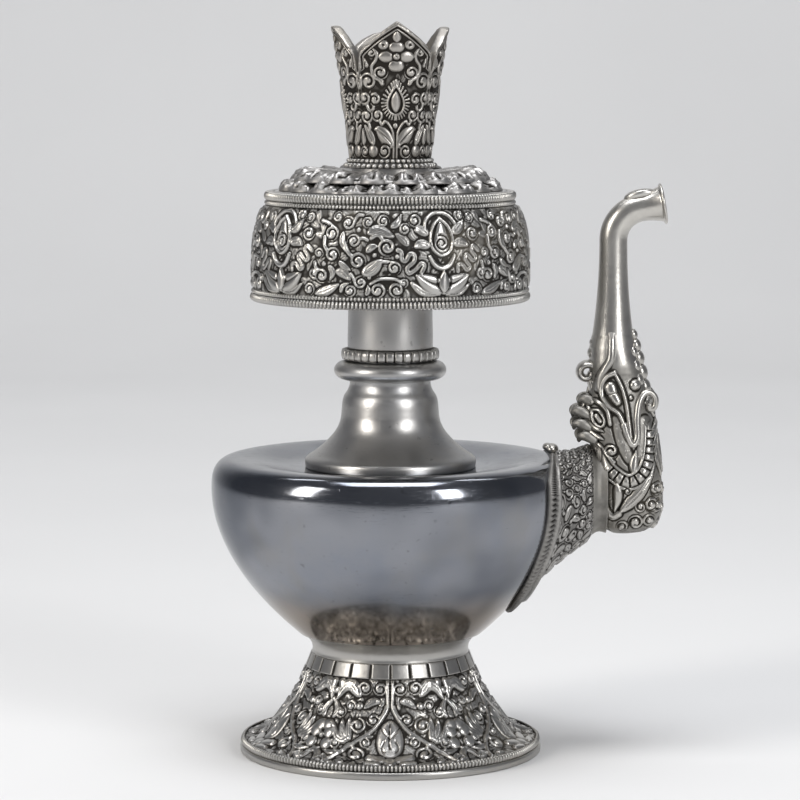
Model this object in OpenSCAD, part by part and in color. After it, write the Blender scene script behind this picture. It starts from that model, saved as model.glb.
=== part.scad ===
// Silver ritual ewer: a flared foot, a shouldered belly with a makara spout, a bell neck,
// a drum-shaped canopy that slips out of the neck, and a four-lobed crown that plugs into the drum.
// Sizes are in millimetres. The origin is the centre of the foot's underside, +Z is up and the
// spout points along +X.

/* [Foot] */
// Outside diameter of the foot's plain rim
foot_rim_d = 125; // [112:1:140]
// Height of the plain rim
foot_rim_h = 3.2; // [2.6:0.1:5]
// Width of the plain rim, measured inwards
foot_rim_w = 2.2; // [1.6:0.1:3.5]
// Height of the bead wire that lies on the rim
foot_bead_h = 2; // [1.2:0.1:3]
// Diameter where the foot's spreading toe turns up into the cone
foot_cone_d = 100; // [96:1:106]
// Height of the flared foot above the rim
foot_cone_h = 32.3; // [24:0.5:44]
// Height of the spreading toe above the rim
foot_toe_h = 5.8; // [4.5:0.1:8]
// Diameter at the top of the flared foot
foot_top_d = 69; // [62:1:74]
// Height of the notched band above the flared foot
foot_band_h = 6; // [4:0.5:9]
// Diameter at the top of the notched band
foot_waist_d = 65; // [60:1:66]
// Number of notches round the band
foot_band_notches = 26; // [16:1:36]
// Depth of a notch in the band
foot_notch_depth = 0.5; // [0.2:0.1:0.8]
// Height of the concave collar under the belly
foot_collar_h = 8.5; // [6:0.5:14]

/* [Belly] */
// Diameter of the belly at its widest
belly_d = 148; // [140:1:164]
// Diameter of the belly's flat bottom
belly_bottom_d = 76; // [72:1:84]
// Height from the belly's bottom to its widest level
bowl_h = 61; // [54:0.5:70]
// Height from the widest level to the shoulder's crest
shoulder_h = 11.3; // [9:0.1:16]
// Width of the shoulder's rounded edge
shoulder_w = 9; // [7:0.5:14]
// Depth of the dish round the neck, below the shoulder's crest
dish_depth = 3.8; // [2:0.1:6]
// Thickness of the raised silver sheet
wall = 1.5; // [1.2:0.1:2]

/* [Neck] */
// Diameter of the neck's skirt
skirt_d = 70; // [62:1:78]
// Height of the skirt's upright edge
skirt_h = 3.6; // [2:0.1:6]
// Diameter of the neck above the bell's flare
neck_d = 40; // [38:0.5:46]
// Height of the bell's flare above the skirt
bell_h = 18; // [14:0.5:26]
// Height of the nearly straight neck above the flare
neck_h = 7; // [5:0.5:14]
// Diameter of the neck's mouth tube
mouth_d = 33.4; // [32:0.2:36]
// Height of the mouth tube, measured from the straight neck
mouth_h = 15.9; // [14:0.1:20]
// Height of the rolled moulding round the mouth
moulding_h = 8; // [6:0.5:9]
// Diameter of the rolled moulding
moulding_d = 46.2; // [43:0.2:50]
// Distance from the moulding's top to the mouth
moulding_drop = 0.5; // [0.3:0.1:1.5]

/* [Spout] */
// Height of the spout's throat above or below the belly's widest level
spout_level = -2.5; // [-8:0.5:4]
// Distance from the belly's widest point to the socket's end
socket_reach = 8; // [6:0.5:14]
// Half width of the socket where it meets the belly
socket_half_w = 38; // [32:0.5:41]
// Width of the socket's beaded edge
socket_edge_w = 4; // [2.5:0.1:5]
// Height of the socket's beaded edge above the belly
socket_edge_h = 3.5; // [2:0.1:5]
// Diameter of the lug on top of the socket's edge
socket_lug_d = 6.4; // [4:0.2:7]
// Diameter of the throat between socket and head
throat_d = 37.6; // [32:0.2:40]
// Length of the throat
throat_l = 6; // [4:0.5:10]
// Depth of the hollow round the throat
throat_dip = 1.4; // [0.5:0.1:2]
// Bore of the throat
throat_bore_d = 24; // [16:1:26]
// Diameter of the water hole through the belly
water_hole_d = 12; // [8:1:14]
// Distance from the throat's end to the middle of the upright tube
tube_setback = 3.5; // [2:0.5:8]
// Height of the makara head above the spout's throat axis
head_h = 59.5; // [52:0.5:70]
// Depth of the makara head below the throat axis
head_drop = 16.2; // [14:0.2:18]
// Diameter of the head where the tube leaves it
head_top_d = 19; // [17:0.5:23]
// Diameter of the tube at its bend
tube_d = 11.4; // [10:0.2:14]
// Diameter of the tube's foot
tube_foot_d = 18.4; // [15:0.2:20]
// Bore of the tube
tube_bore_d = 8; // [6:0.2:9]
// Height of the upright tube
tube_h = 44; // [36:0.5:60]
// Radius of the bend, along the tube's middle
bend_r = 13.5; // [11:0.5:18]
// Length of the mouthpiece beyond the bend
mouthpiece_l = 5.6; // [4:0.2:9]
// Diameter of the flared mouthpiece at the lip
mouthpiece_d = 13.4; // [12:0.2:16]
// Diameter of the lip
lip_d = 16.8; // [15:0.2:20]
// Thickness of the lip
lip_t = 1.6; // [1:0.1:3]
// Length of the saddle on top of the bend
saddle_l = 12; // [8:0.5:13]
// Width of the saddle
saddle_w = 8; // [5:0.5:9]
// Height of the saddle's top above the tube
saddle_h = 3; // [2:0.1:4]

/* [Canopy] */
// Outside diameter of the sleeve that slides into the neck
sleeve_d = 30; // [26:0.2:30]
// Length of the sleeve below its bead ring
sleeve_l = 23; // [15:1:24]
// Diameter of the bead ring on the stem
stem_bead_d = 40.4; // [38:0.2:44]
// Height of the bead ring
stem_bead_h = 4.5; // [3:0.1:6]
// Diameter of the stem
stem_d = 35; // [34:0.2:37]
// Length of stem that shows under the drum
stem_h = 20; // [12:0.5:30]
// Diameter of the drum's wall at the bottom
drum_d = 112.4; // [100:0.2:124]
// Diameter of the drum's wall at the top
drum_top_d = 103; // [97:0.5:106]
// Height of the drum's wall
drum_h = 39; // [32:0.5:50]
// Height of the large bead wire round the drum's bottom
drum_bead_h = 3; // [2:0.1:4]
// Height of the fine bead wire above it
drum_fine_h = 2; // [1:0.1:3]
// How far the bead wires stand out from the wall
drum_bead_out = 1; // [0.6:0.1:2]
// Height of the fine bead wire on top of the wall
top_fine_h = 2; // [1:0.1:3]
// Height of the large bead wire on top of that
top_bead_h = 3.8; // [3:0.1:5]
// Width of the two upper bead wires
top_wire_w = 3.6; // [2.6:0.1:5]
// Number of petals in each lotus tier
lotus_petals = 18; // [12:1:24]
// Tip diameter of the lower lotus tier
lotus_lower_d = 92; // [84:1:94]
// Tip diameter of the upper lotus tier
lotus_upper_d = 82; // [70:1:83]
// Height of one lotus tier
lotus_h = 4.6; // [3:0.1:6]
// How far a petal's tip stands out from the valley beside it
petal_l = 6; // [3:0.5:9]

/* [Crown] */
// Number of lobes
crown_lobes = 4; // [4:1:7]
// Turn of the crown's front lobe towards the spout, in degrees
crown_turn = 7; // [-30:1:30]
// Diameter at the cup's bottom
crown_base_d = 33.4; // [32.6:0.2:36]
// Diameter at the lobes' tips
crown_top_d = 47; // [42:0.5:54]
// Height of the cup to the lobes' tips
crown_h = 55; // [45:0.5:70]
// Height of the lobes' pointed part
lobe_point_h = 11; // [8:0.5:14]
// Depth of the slit between two lobes, below the pointed part
lobe_slit_h = 10; // [6:0.5:14]
// Half width of the slit at its top
lobe_slit_w = 1.2; // [0.8:0.1:2]
// Width of a lobe's blunt tip
lobe_tip_w = 1.4; // [0.8:0.1:3]
// Thickness of the cup's wall
crown_wall = 1.6; // [1.2:0.1:2]
// Diameter of the bead ring under the cup
crown_ring_d = 38.4; // [36.4:0.2:42]
// Height of the bead ring
crown_ring_h = 4; // [3:0.1:6]
// Length of the plug below the bead ring
crown_plug_l = 26; // [18:1:40]
// Thickness of the cup's floor
crown_floor_t = 2; // [1.5:0.1:3]
// Hole in the floor for the sprinkler's stem
sprinkler_hole_d = 12; // [8:0.5:16]

/* [Relief] */
// Height of the chased leaves and curls above their ground
relief_h = 1; // [0.5:0.1:1.3]
// Turn of the drum's front emblem towards the spout, in degrees
drum_turn = 22; // [-36:1:36]

/* [Fits] */
// Radial clearance of the two slip fits
slip_gap = 0.2; // [0.1:0.05:0.3]
// Gap left where curved pieces are soldered together
solder_gap = 0.05; // [0.03:0.01:0.1]

/* [Hidden] */
$fn = 96;

polished = [0.72, 0.72, 0.73];
chased = [0.55, 0.54, 0.52];

// Levels, from the floor up
foot_band_z = foot_rim_h + foot_cone_h;
foot_collar_z = foot_band_z + foot_band_h;
belly_z = foot_collar_z + foot_collar_h;
wide_z = belly_z + bowl_h;
crest_z = wide_z + shoulder_h;
neck_z = crest_z - dish_depth;
flare_z = neck_z + skirt_h;
straight_z = flare_z + bell_h;
narrow_z = straight_z + neck_h;
seat_z = narrow_z + mouth_h;
stem_z = seat_z + stem_bead_h;
drum_z = stem_z + stem_h;
drum_top_z = drum_z + drum_h;
lotus_z = drum_top_z + top_fine_h + top_bead_h;
crown_ring_z = lotus_z + 2 * lotus_h;
crown_z = crown_ring_z + crown_ring_h;

// Radii and places that several pieces share
belly_r = belly_d / 2;
belly_bottom_r = belly_bottom_d / 2;
mouth_r = mouth_d / 2;
neck_bore_r = mouth_r - wall;
neck_hole_r = neck_d / 2 - wall;
sleeve_r = min(sleeve_d / 2, neck_bore_r - slip_gap);
stem_r = stem_d / 2;
stem_bore_r = stem_r - wall;
plug_r = stem_bore_r - slip_gap;
drum_r = drum_d / 2;
top_wire_r = drum_top_d / 2;
top_plate_r = top_wire_r - top_wire_w - solder_gap;
moulding_top_z = seat_z - moulding_drop;
spout_z = wide_z + spout_level;
throat_x = belly_r + socket_reach;
throat_r = throat_d / 2;
head_x = throat_x + throat_l;
tube_x = head_x + tube_setback;
head_top_z = spout_z + head_h;
bend_z = head_top_z + tube_h;
lip_z = bend_z + bend_r;
lip_x = tube_x + bend_r + mouthpiece_l;

// Points along one curved stretch of an outline
curve_steps = 12;
// Points along the foot's toe
toe_steps = 5;
// Points along a wall that carries chased relief
sheet_steps = 4;
// Points round the socket's oval
oval_steps = 48;
// Flat head of the dish, from the neck's skirt outwards
dish_flat = 1.5;
// The socket's oval runs along the belly's meridian between these two places:
// 0 is the bowl's bottom, 1 the widest level and 2 the shoulder's crest
oval_low = 0.15;
oval_high = 1.95;
// Height of the bore's floor inside the head, below the throat axis
head_bore_r = 5;
// Radius of the belly's rounding where a superellipse replaces a circle
shoulder_power = 0.8;

function mix(a, b, t) = a + (b - a) * t;
function reversed(list) = [for (i = [len(list) - 1:-1:0]) list[i]];

// An open outline moved sideways: outwards when the outline runs upwards and d is positive
function sidestep(line, d) = [
  for (i = [0:len(line) - 1])
    let (along = line[min(i + 1, len(line) - 1)] - line[max(i - 1, 0)])
    line[i] + d * [along.y, -along.x] / norm(along)
];

// The inside of a wall: its two ends are level with the outline's own ends and nothing passes them
function inner_line(line, t) =
  let (moved = sidestep(line, -t), last = len(line) - 1, low = line[0].y, high = line[last].y)
  concat(
    [[line[0].x - t, low]],
    [for (i = [1:last - 1]) if (moved[i].y > low && moved[i].y < high) moved[i]],
    [[line[last].x - t, high]]
  );

// The bowl is a parabola: u runs from 0 at its bottom to 1 at the widest level
function bowl_point(u) = [
  belly_r - (belly_r - belly_bottom_r) * pow(1 - u, 2),
  belly_z + bowl_h * u,
];

// The shoulder's edge is a quarter of a superellipse: u runs from 0 at the widest level to 1 at the crest
function shoulder_point(u) = [
  belly_r - shoulder_w + shoulder_w * pow(cos(90 * u), shoulder_power),
  wide_z + shoulder_h * pow(sin(90 * u), shoulder_power),
];

// A place on the belly's outside, moved out by d: u is 0 to 1 on the bowl and 1 to 2 on the shoulder
function belly_place(u) = u < 1 ? bowl_point(u) : shoulder_point(min(u - 1, 1));
function belly_point(u, d) =
  let (e = 0.01, along = belly_place(min(u + e, 2)) - belly_place(max(u - e, 0)))
  belly_place(u) + d * [along.y, -along.x] / norm(along);

// A point of the socket's oval at angle a, on a belly that is d larger; inset shrinks the oval
function oval_point(a, d, inset) =
  let (
    reach = 1 - inset / socket_half_w,
    u = mix(oval_low, oval_high, 0.5 + 0.5 * reach * sin(a)),
    p = belly_point(u, d),
    y = socket_half_w * reach * cos(a)
  )
  [sqrt(p.x * p.x - y * y), y, p.y];

// A solid whose skin runs through closed rings of points: each ring is joined to the next,
// and the last to the first
module ring_solid(rings) {
  n = len(rings[0]);
  count = len(rings);
  points = [for (ring = rings, p = ring) p];
  faces = [
    for (i = [0:count - 1], j = [0:n - 1])
      let (
        k = (j + 1) % n,
        a = i * n + j, b = i * n + k,
        c = ((i + 1) % count) * n + k, d = ((i + 1) % count) * n + j
      )
      each [[a, b, c], [a, c, d]],
  ];
  polyhedron(points, faces);
}

// Chased motifs: z points out of the ground, and the root is sunk into the wall that carries it
relief_root = 0.6;
motif_fn = 32;

// A leaf between two equal arcs, l long and w wide
module leaf_motif(l, w) {
  arc_r = (l * l + w * w) / (4 * w);
  translate([0, 0, -relief_root]) intersection() {
    translate([0, arc_r - w / 2, 0]) cylinder(r = arc_r, h = relief_root + relief_h);
    translate([0, w / 2 - arc_r, 0]) cylinder(r = arc_r, h = relief_root + relief_h);
  }
}

// A curl: a round ridge with the ground showing inside it
module curl_motif(r) {
  translate([0, 0, -relief_root]) difference() {
    cylinder(r = r, h = relief_root + relief_h, $fn = motif_fn);
    translate([0, 0, -1]) cylinder(r = 0.5 * r, h = relief_root + relief_h + 2, $fn = motif_fn);
  }
}

// How far the outward side of an outline leans back between two of its points
function lean_of(a, b) = atan2(a.x - b.x, b.y - a.y);

// Puts a motif on a turned wall at p: its x lies along the wall when spin is 0
module on_wall(p, lean, round, spin) {
  rotate(round / p.x * 180 / PI)
    translate([p.x, 0, p.y]) rotate([0, 90 - lean, 0]) rotate(90 + spin) children();
}

// A flat ring that stands on level z
module ring(r_in, r_out, z, h) {
  translate([0, 0, z]) rotate_extrude() translate([r_in, 0]) square([r_out - r_in, h]);
}

// A wire ring with a round back: flat below, above and inside
module wire_ring(r_in, r_out, z, h) {
  back_r = min(h / 2, 0.8 * (r_out - r_in));
  translate([0, 0, z]) rotate_extrude() {
    translate([r_in, 0]) square([r_out - r_in - back_r, h]);
    intersection() {
      translate([r_out - back_r, h / 2]) circle(r = h / 2);
      translate([r_out - back_r, 0]) square([back_r, h]);
    }
  }
}

// Foot

module foot_rim() {
  color(polished) ring(foot_rim_d / 2 - foot_rim_w, foot_rim_d / 2, 0, foot_rim_h);
}

module foot_bead_wire() {
  color(chased)
    wire_ring(foot_rim_d / 2 - foot_rim_w, foot_rim_d / 2 - foot_rim_w / 4, foot_rim_h, foot_bead_h);
}

// Outline of the flared foot: a toe that spreads to the bead wire, then a slightly hollow cone
foot_edge_r = foot_rim_d / 2 - foot_rim_w - solder_gap;
foot_edge_z = foot_rim_h + foot_bead_h - 0.3;
foot_toe_z = foot_rim_h + foot_toe_h;
foot_hollow = 1.7;
function toe_point(t) = [
  mix(foot_edge_r, foot_cone_d / 2, t),
  mix(foot_edge_z, foot_toe_z, t * t),
];
function foot_point(t) = [
  mix(foot_cone_d / 2, foot_top_d / 2, t) - foot_hollow * sin(180 * t),
  mix(foot_toe_z, foot_band_z, t),
];
foot_line = concat(
  [for (i = [0:toe_steps - 1]) toe_point(i / toe_steps)],
  [for (i = [0:sheet_steps]) foot_point(i / sheet_steps)]
);

module foot_sheet() {
  inside = sidestep(foot_line, -wall);
  last = len(foot_line) - 1;
  lap_z = foot_rim_h - wall / 2;
  rotate_extrude()
    polygon(concat(
      [[foot_edge_r, lap_z]],
      foot_line,
      [[foot_line[last].x - wall, foot_band_z]],
      [for (i = [last - 1:-1:1]) if (inside[i].x < foot_edge_r - wall) inside[i]],
      [[foot_edge_r - wall, lap_z]]
    ));
}

// The foot's motifs are drawn for a cone of this height and grow with the real one
drawn_cone_h = 26.5;
foot_unit = (foot_band_z - foot_toe_z) / drawn_cone_h;

// A place on the foot's cone: round runs along its skin, t from the toe to the band
module on_foot(round, t, spin = 0) {
  p = foot_point(t);
  slope = 0.02;
  on_wall(p, lean_of(foot_point(t - slope), foot_point(t + slope)), round * foot_unit, spin) children();
}

module foot_leaf(round, t, spin, l, w) {
  on_foot(round, t, spin) leaf_motif(l * foot_unit, w * foot_unit);
}

module foot_curl(round, t, r) {
  on_foot(round, t) curl_motif(r * foot_unit);
}

// One panel of the foot: a lotus bud under a stem that parts into two vines with curls and leaves
module foot_panel() {
  foot_leaf(0, 0.23, 90, 11, 8);
  foot_leaf(0, 0.77, 90, 11, 2.6);
  for (side = [-1, 1]) {
    foot_leaf(7 * side, 0.39, -45 * side, 14, 2.4);
    foot_leaf(17.6 * side, 0.75, -12 * side, 10, 4.4);
    foot_leaf(21.2 * side, 0.335, 65 * side, 9, 3.8);
    foot_curl(14.4 * side, 0.4, 3.6);
    foot_curl(8.6 * side, 0.86, 3);
  }
}

module foot_shell() {
  panels = 5;
  color(chased) {
    foot_sheet();
    for (i = [0:panels - 1])
      rotate(i * 360 / panels - 90) {
        foot_panel();
        rotate(180 / panels) {
          foot_curl(0, 0.22, 5.2);
          foot_leaf(0, 0.61, 90, 8.5, 4.5);
        }
      }
  }
}

module foot_band() {
  bottom_r = foot_top_d / 2;
  top_r = foot_waist_d / 2;
  notch_w = 0.5;
  color(polished) difference() {
    translate([0, 0, foot_band_z]) rotate_extrude()
      polygon([
        [bottom_r - wall, 0], [bottom_r, 0],
        [top_r, foot_band_h], [top_r - wall, foot_band_h],
      ]);
    for (i = [0:foot_band_notches - 1])
      rotate((i + 0.5) * 360 / foot_band_notches)
        translate([bottom_r, 0, foot_band_z])
          rotate([0, -atan((bottom_r - top_r) / foot_band_h), 0])
            translate([-foot_notch_depth, -notch_w / 2, -foot_band_h])
              cube([3 * foot_notch_depth, notch_w, 3 * foot_band_h]);
  }
}

collar_line = [
  for (i = [0:curve_steps])
    let (t = i / curve_steps)
    [mix(foot_waist_d / 2, belly_bottom_r, pow(t, 2)), foot_collar_z + foot_collar_h * t]
];

module foot_collar() {
  color(polished) rotate_extrude()
    polygon(concat(collar_line, reversed(inner_line(collar_line, wall))));
}

// Belly

bowl_line = [for (i = [0:2 * curve_steps]) bowl_point(i / (2 * curve_steps))];

module belly_solid() {
  rotate_extrude()
    polygon(concat([[0, belly_z]], bowl_line, [[0, wide_z]]));
}

module belly_bowl() {
  inside = sidestep(bowl_line, -wall);
  last = len(bowl_line) - 1;
  floor_z = belly_z + wall;
  color(polished) difference() {
    rotate_extrude()
      polygon(concat(
        [[0, belly_z]], bowl_line,
        [[belly_r - wall, wide_z]],
        [for (i = [last - 1:-1:1]) if (inside[i].y > floor_z) inside[i]],
        [[belly_bottom_r - wall / 2, floor_z], [0, floor_z]]
      ));
    translate([0, 0, spout_z - water_hole_d / 2 - 1]) rotate([0, 90, 0])
      cylinder(d = water_hole_d, h = 2 * belly_r);
  }
}

shoulder_line = concat(
  [for (i = [0:curve_steps]) shoulder_point(i / curve_steps)],
  [for (i = [1:curve_steps])
    let (t = i / curve_steps)
    [
      mix(belly_r - shoulder_w, skirt_d / 2 + dish_flat, t),
      mix(crest_z, neck_z, (1 - cos(180 * t)) / 2),
    ]],
  [[neck_hole_r, neck_z]]
);

module belly_shoulder() {
  inside = sidestep(shoulder_line, -wall);
  last = len(shoulder_line) - 1;
  color(polished) rotate_extrude()
    polygon(concat(
      shoulder_line,
      [[neck_hole_r, neck_z - wall]],
      [for (i = [last - 1:-1:1]) inside[i]],
      [[belly_r - wall, wide_z]]
    ));
}

// Neck

neck_line = concat(
  [[skirt_d / 2, neck_z]],
  [for (i = [0:curve_steps])
    let (t = i / curve_steps)
    [
      neck_d / 2 + (skirt_d - neck_d) / 2 * pow(1 - t, 2),
      flare_z + bell_h * t,
    ]],
  [for (i = [1:4])
    let (t = i / 4)
    [mix(neck_d / 2, neck_d / 2 - 1.2, t * t), straight_z + neck_h * t]],
  [for (i = [1:4])
    let (t = i / 4)
    [
      mix(neck_d / 2 - 1.2, mouth_r, (1 - cos(180 * t)) / 2),
      narrow_z + (mouth_h - moulding_h - moulding_drop) * 0.7 * t,
    ]],
  [[mouth_r, seat_z]]
);

module neck_bell() {
  color(polished) rotate_extrude()
    polygon(concat(neck_line, reversed(inner_line(neck_line, wall))));
}

module neck_moulding() {
  out = moulding_d / 2 - mouth_r;
  color(polished) translate([0, 0, moulding_top_z - moulding_h]) rotate_extrude()
    polygon(concat(
      [for (i = [0:2 * curve_steps])
        let (t = i / (2 * curve_steps))
        [mouth_r + solder_gap + out * pow(sin(180 * t), 0.9), moulding_h * t]]
    ));
}

// Spout

function oval_ring(d, inset) = [
  for (i = [0:oval_steps - 1]) oval_point(i * 360 / oval_steps, d, inset)
];
function circle_ring(x, r) = [
  for (i = [0:oval_steps - 1])
    let (a = i * 360 / oval_steps)
    [x, r * cos(a), spout_z + r * sin(a)]
];

// Gap that keeps the socket's straight facets off the round belly
facet_gap = 0.15;

module spout_socket() {
  inset = socket_edge_w + facet_gap;
  color(chased) ring_solid([
    oval_ring(facet_gap, inset),
    circle_ring(throat_x, throat_r),
    circle_ring(throat_x, throat_r - wall),
    oval_ring(facet_gap, inset + wall),
  ]);
}

module socket_edge() {
  color(chased) ring_solid([
    oval_ring(facet_gap, 0),
    oval_ring(socket_edge_h, socket_edge_w / 4),
    oval_ring(socket_edge_h, 3 * socket_edge_w / 4),
    oval_ring(facet_gap, socket_edge_w),
  ]);
}

// The lug stands on the edge's top, at right angles to the belly
module socket_lug() {
  foot = (oval_point(90, socket_edge_h, socket_edge_w / 4)
    + oval_point(90, socket_edge_h, 3 * socket_edge_w / 4)) / 2;
  tip = (oval_point(90, socket_edge_h + 1, socket_edge_w / 4)
    + oval_point(90, socket_edge_h + 1, 3 * socket_edge_w / 4)) / 2;
  lean = atan2(tip.x - foot.x, tip.z - foot.z);
  ball_r = socket_lug_d / 2;
  post_r = min(1.2, socket_edge_w / 4);
  color(polished) translate(foot) rotate([0, lean, 0]) translate([0, 0, facet_gap]) {
    cylinder(r = post_r, h = ball_r);
    translate([0, 0, ball_r + 0.4]) sphere(r = ball_r);
  }
}

module spout_throat() {
  color(polished) translate([throat_x, 0, spout_z]) rotate([0, 90, 0]) rotate_extrude()
    polygon(concat(
      [for (i = [0:curve_steps])
        let (t = i / curve_steps)
        [throat_r - throat_dip * sin(180 * t), throat_l * t]],
      [[throat_bore_d / 2, throat_l], [throat_bore_d / 2, 0]]
    ));
}

// The head's plain form: an elbow that is round at the throat, full at the jaw and slim at the tube
jaw_r = head_drop - 2;
brow_r = 11;
cheek_r = 10;
jaw_x = head_x + 9.5;
brow_x = head_x + 9.6;
brow_z = spout_z + 29.5;
cheek_x = head_x + 1.5;
cheek_z = spout_z + 32.5;
module head_form(grow = 0) {
  hull() {
    translate([head_x, 0, spout_z]) rotate([0, 90, 0])
      cylinder(r = throat_r - 1.3 + grow, h = 1, $fn = 48);
    translate([jaw_x, 0, spout_z - head_drop + jaw_r]) sphere(r = jaw_r + grow, $fn = 32);
    translate([brow_x, 0, brow_z]) sphere(r = brow_r + grow, $fn = 32);
    translate([cheek_x, 0, cheek_z]) sphere(r = cheek_r + grow, $fn = 32);
    translate([tube_x, 0, head_top_z - 1]) cylinder(d = head_top_d + 2 * grow, h = 1, $fn = 48);
  }
}

// Room for the throat, which the head and its ruffs keep clear of
module throat_room() {
  translate([throat_x - 6, 0, spout_z]) rotate([0, 90, 0])
    cylinder(r = throat_r + 2 * facet_gap, h = throat_l + 6);
}

module makara_head() {
  color(chased) difference() {
    head_form();
    throat_room();
    translate([head_x - 1, 0, spout_z]) rotate([0, 90, 0])
      cylinder(r = throat_bore_d / 2 - 4, h = tube_setback + 5);
    translate([tube_x, 0, spout_z]) cylinder(d = tube_bore_d, h = head_h + 1);
  }
}

// Pieces that lie on the head's two cheeks are the same on both sides
module both_cheeks() {
  children();
  mirror([0, 1, 0]) children();
}

module makara_eyes() {
  eye_r = 3;
  color(polished) difference() {
    both_cheeks() translate([head_x - 2, 11, spout_z + 30]) rotate(90) sphere(r = eye_r);
    head_form(facet_gap);
  }
}

// The open mouth is a U on each cheek, turned to follow the cheek's slope
module makara_jaws() {
  jaw_bend_r = 10.3;
  jaw_wire_r = 2.4;
  cheek_slope = 22;
  color(chased) difference() {
    both_cheeks()
      translate([jaw_x + 0.5, 13.6, spout_z + 10.5]) rotate([0, 0, -cheek_slope])
        rotate([90, 0, 0]) rotate([0, 0, 175]) rotate_extrude(angle = 190)
          translate([jaw_bend_r, 0]) circle(r = jaw_wire_r);
    head_form(facet_gap);
    throat_room();
  }
}

module makara_ruffs() {
  ruff_r = 5;
  color(chased) difference() {
    both_cheeks() translate([head_x - 7, 8.5, spout_z + 23.5]) sphere(r = ruff_r, $fn = 12);
    head_form(facet_gap);
    throat_room();
  }
}

// A rolled band seen as a spiral from the side
module curl(r, band_t, band_w, turn) {
  rotate([90, 0, 0]) rotate([0, 0, turn]) rotate_extrude(angle = 300)
    translate([r - band_t, -band_w / 2]) square([band_t, band_w]);
}

module makara_trunk_curl() {
  color(chased) difference() {
    translate([tube_x - 11, 0, head_top_z - 11.5]) curl(4.8, 1.9, 9, 0);
    head_form(facet_gap);
  }
}

module makara_lip_curl() {
  color(chased) difference() {
    translate([tube_x + 15.5, 0, spout_z + 35]) curl(4.4, 1.9, 11, 240);
    head_form(facet_gap);
  }
}

// A row of knobs climbs from the lip curl towards the tube
module makara_crest() {
  knobs = 4;
  knob_r = 2.3;
  color(chased) difference() {
    for (i = [0:knobs - 1])
      let (t = i / (knobs - 1))
      translate([
        mix(tube_x + 14.6, tube_x + head_top_d / 2 + 1, t), 0,
        mix(spout_z + 43, head_top_z - 3.4, t),
      ]) sphere(r = knob_r, $fn = 12);
    head_form(facet_gap);
  }
}

// Upright tube, bend and mouthpiece share one bore
tube_line = [
  for (i = [0:curve_steps])
    let (t = i / curve_steps)
    [mix(tube_foot_d / 2, tube_d / 2, 1 - pow(1 - t, 2.2)), head_top_z + tube_h * t]
];

module bend(r) {
  translate([tube_x + bend_r, 0, bend_z]) rotate([90, 0, 0])
    rotate([0, 0, 90]) rotate_extrude(angle = 90) translate([bend_r, 0]) circle(r = r);
}

module spout_tube() {
  bore_r = tube_bore_d / 2;
  color(polished) difference() {
    union() {
      translate([tube_x, 0, 0]) rotate_extrude()
        polygon(concat([[0, head_top_z]], tube_line, [[0, bend_z]]));
      bend(tube_d / 2);
      translate([tube_x + bend_r, 0, lip_z]) rotate([0, 90, 0])
        cylinder(d1 = tube_d, d2 = mouthpiece_d, h = mouthpiece_l);
    }
    translate([tube_x, 0, head_top_z - 1]) cylinder(r = bore_r, h = tube_h + 1);
    bend(bore_r);
    translate([tube_x + bend_r, 0, lip_z]) rotate([0, 90, 0])
      cylinder(r1 = bore_r, r2 = mouthpiece_d / 2 - 1, h = mouthpiece_l + 0.01);
  }
}

module spout_lip() {
  color(polished) translate([lip_x, 0, lip_z]) rotate([0, 90, 0])
    difference() {
      cylinder(d = lip_d, h = lip_t);
      translate([0, 0, -1]) cylinder(d = mouthpiece_d - 2, h = lip_t + 2);
    }
}

// An oval plate that rides on top of the bend
module spout_saddle() {
  middle_x = tube_x + bend_r - 1.5;
  color(chased) difference() {
    translate([middle_x, 0, lip_z]) linear_extrude(tube_d / 2 + saddle_h)
      polygon([
        for (i = [0:oval_steps - 1])
          let (a = i * 360 / oval_steps)
          [saddle_l / 2 * cos(a), saddle_w / 2 * sin(a)],
      ]);
    bend(tube_d / 2 + solder_gap);
    translate([tube_x + bend_r, 0, lip_z]) rotate([0, 90, 0])
      cylinder(d1 = tube_d + 2 * solder_gap, d2 = mouthpiece_d + 2 * solder_gap, h = mouthpiece_l);
  }
}

// Canopy

module sleeve() {
  above = 6;
  color(polished) ring(sleeve_r - wall, sleeve_r, seat_z - sleeve_l, sleeve_l + stem_bead_h + above);
}

module stem_bead_ring() {
  color(chased) wire_ring(sleeve_r + solder_gap, stem_bead_d / 2, seat_z, stem_bead_h);
}

module stem_tube() {
  top = lotus_z - wall;
  color(polished) ring(stem_bore_r, stem_r, stem_z, top - stem_z);
}

module drum_base_plate() {
  color(polished) ring(stem_r + solder_gap, drum_r - wall - solder_gap, drum_z, wall);
}

// The drum's chased field: upright above the lower wires, then leaning in; t runs from 0 to 1
drum_field_z = drum_z + drum_bead_h + drum_fine_h;
drum_lean_power = 3.8;
function drum_point(t) = [
  mix(drum_r, drum_top_d / 2, pow(t, drum_lean_power)),
  mix(drum_field_z, drum_top_z, t),
];
drum_line = concat(
  [[drum_r, drum_z]],
  [for (i = [0:sheet_steps]) drum_point(pow(i / sheet_steps, 0.5))]
);

// The drum's motifs are drawn for a field of this height and grow with the real one
drawn_field_h = 34;
drum_unit = (drum_top_z - drum_field_z) / drawn_field_h;

// A place on the drum: round runs along the wall, up from the lower wires
module on_drum(round, up, spin = 0) {
  t = up / drawn_field_h;
  slope = 0.02;
  on_wall(drum_point(t), lean_of(drum_point(t - slope), drum_point(t + slope)), round * drum_unit, spin)
    children();
}

module drum_leaf(round, up, spin, l, w) {
  on_drum(round, up, spin) leaf_motif(l * drum_unit, w * drum_unit);
}

module drum_curl(round, up, r) {
  on_drum(round, up) curl_motif(r * drum_unit);
}

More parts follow.
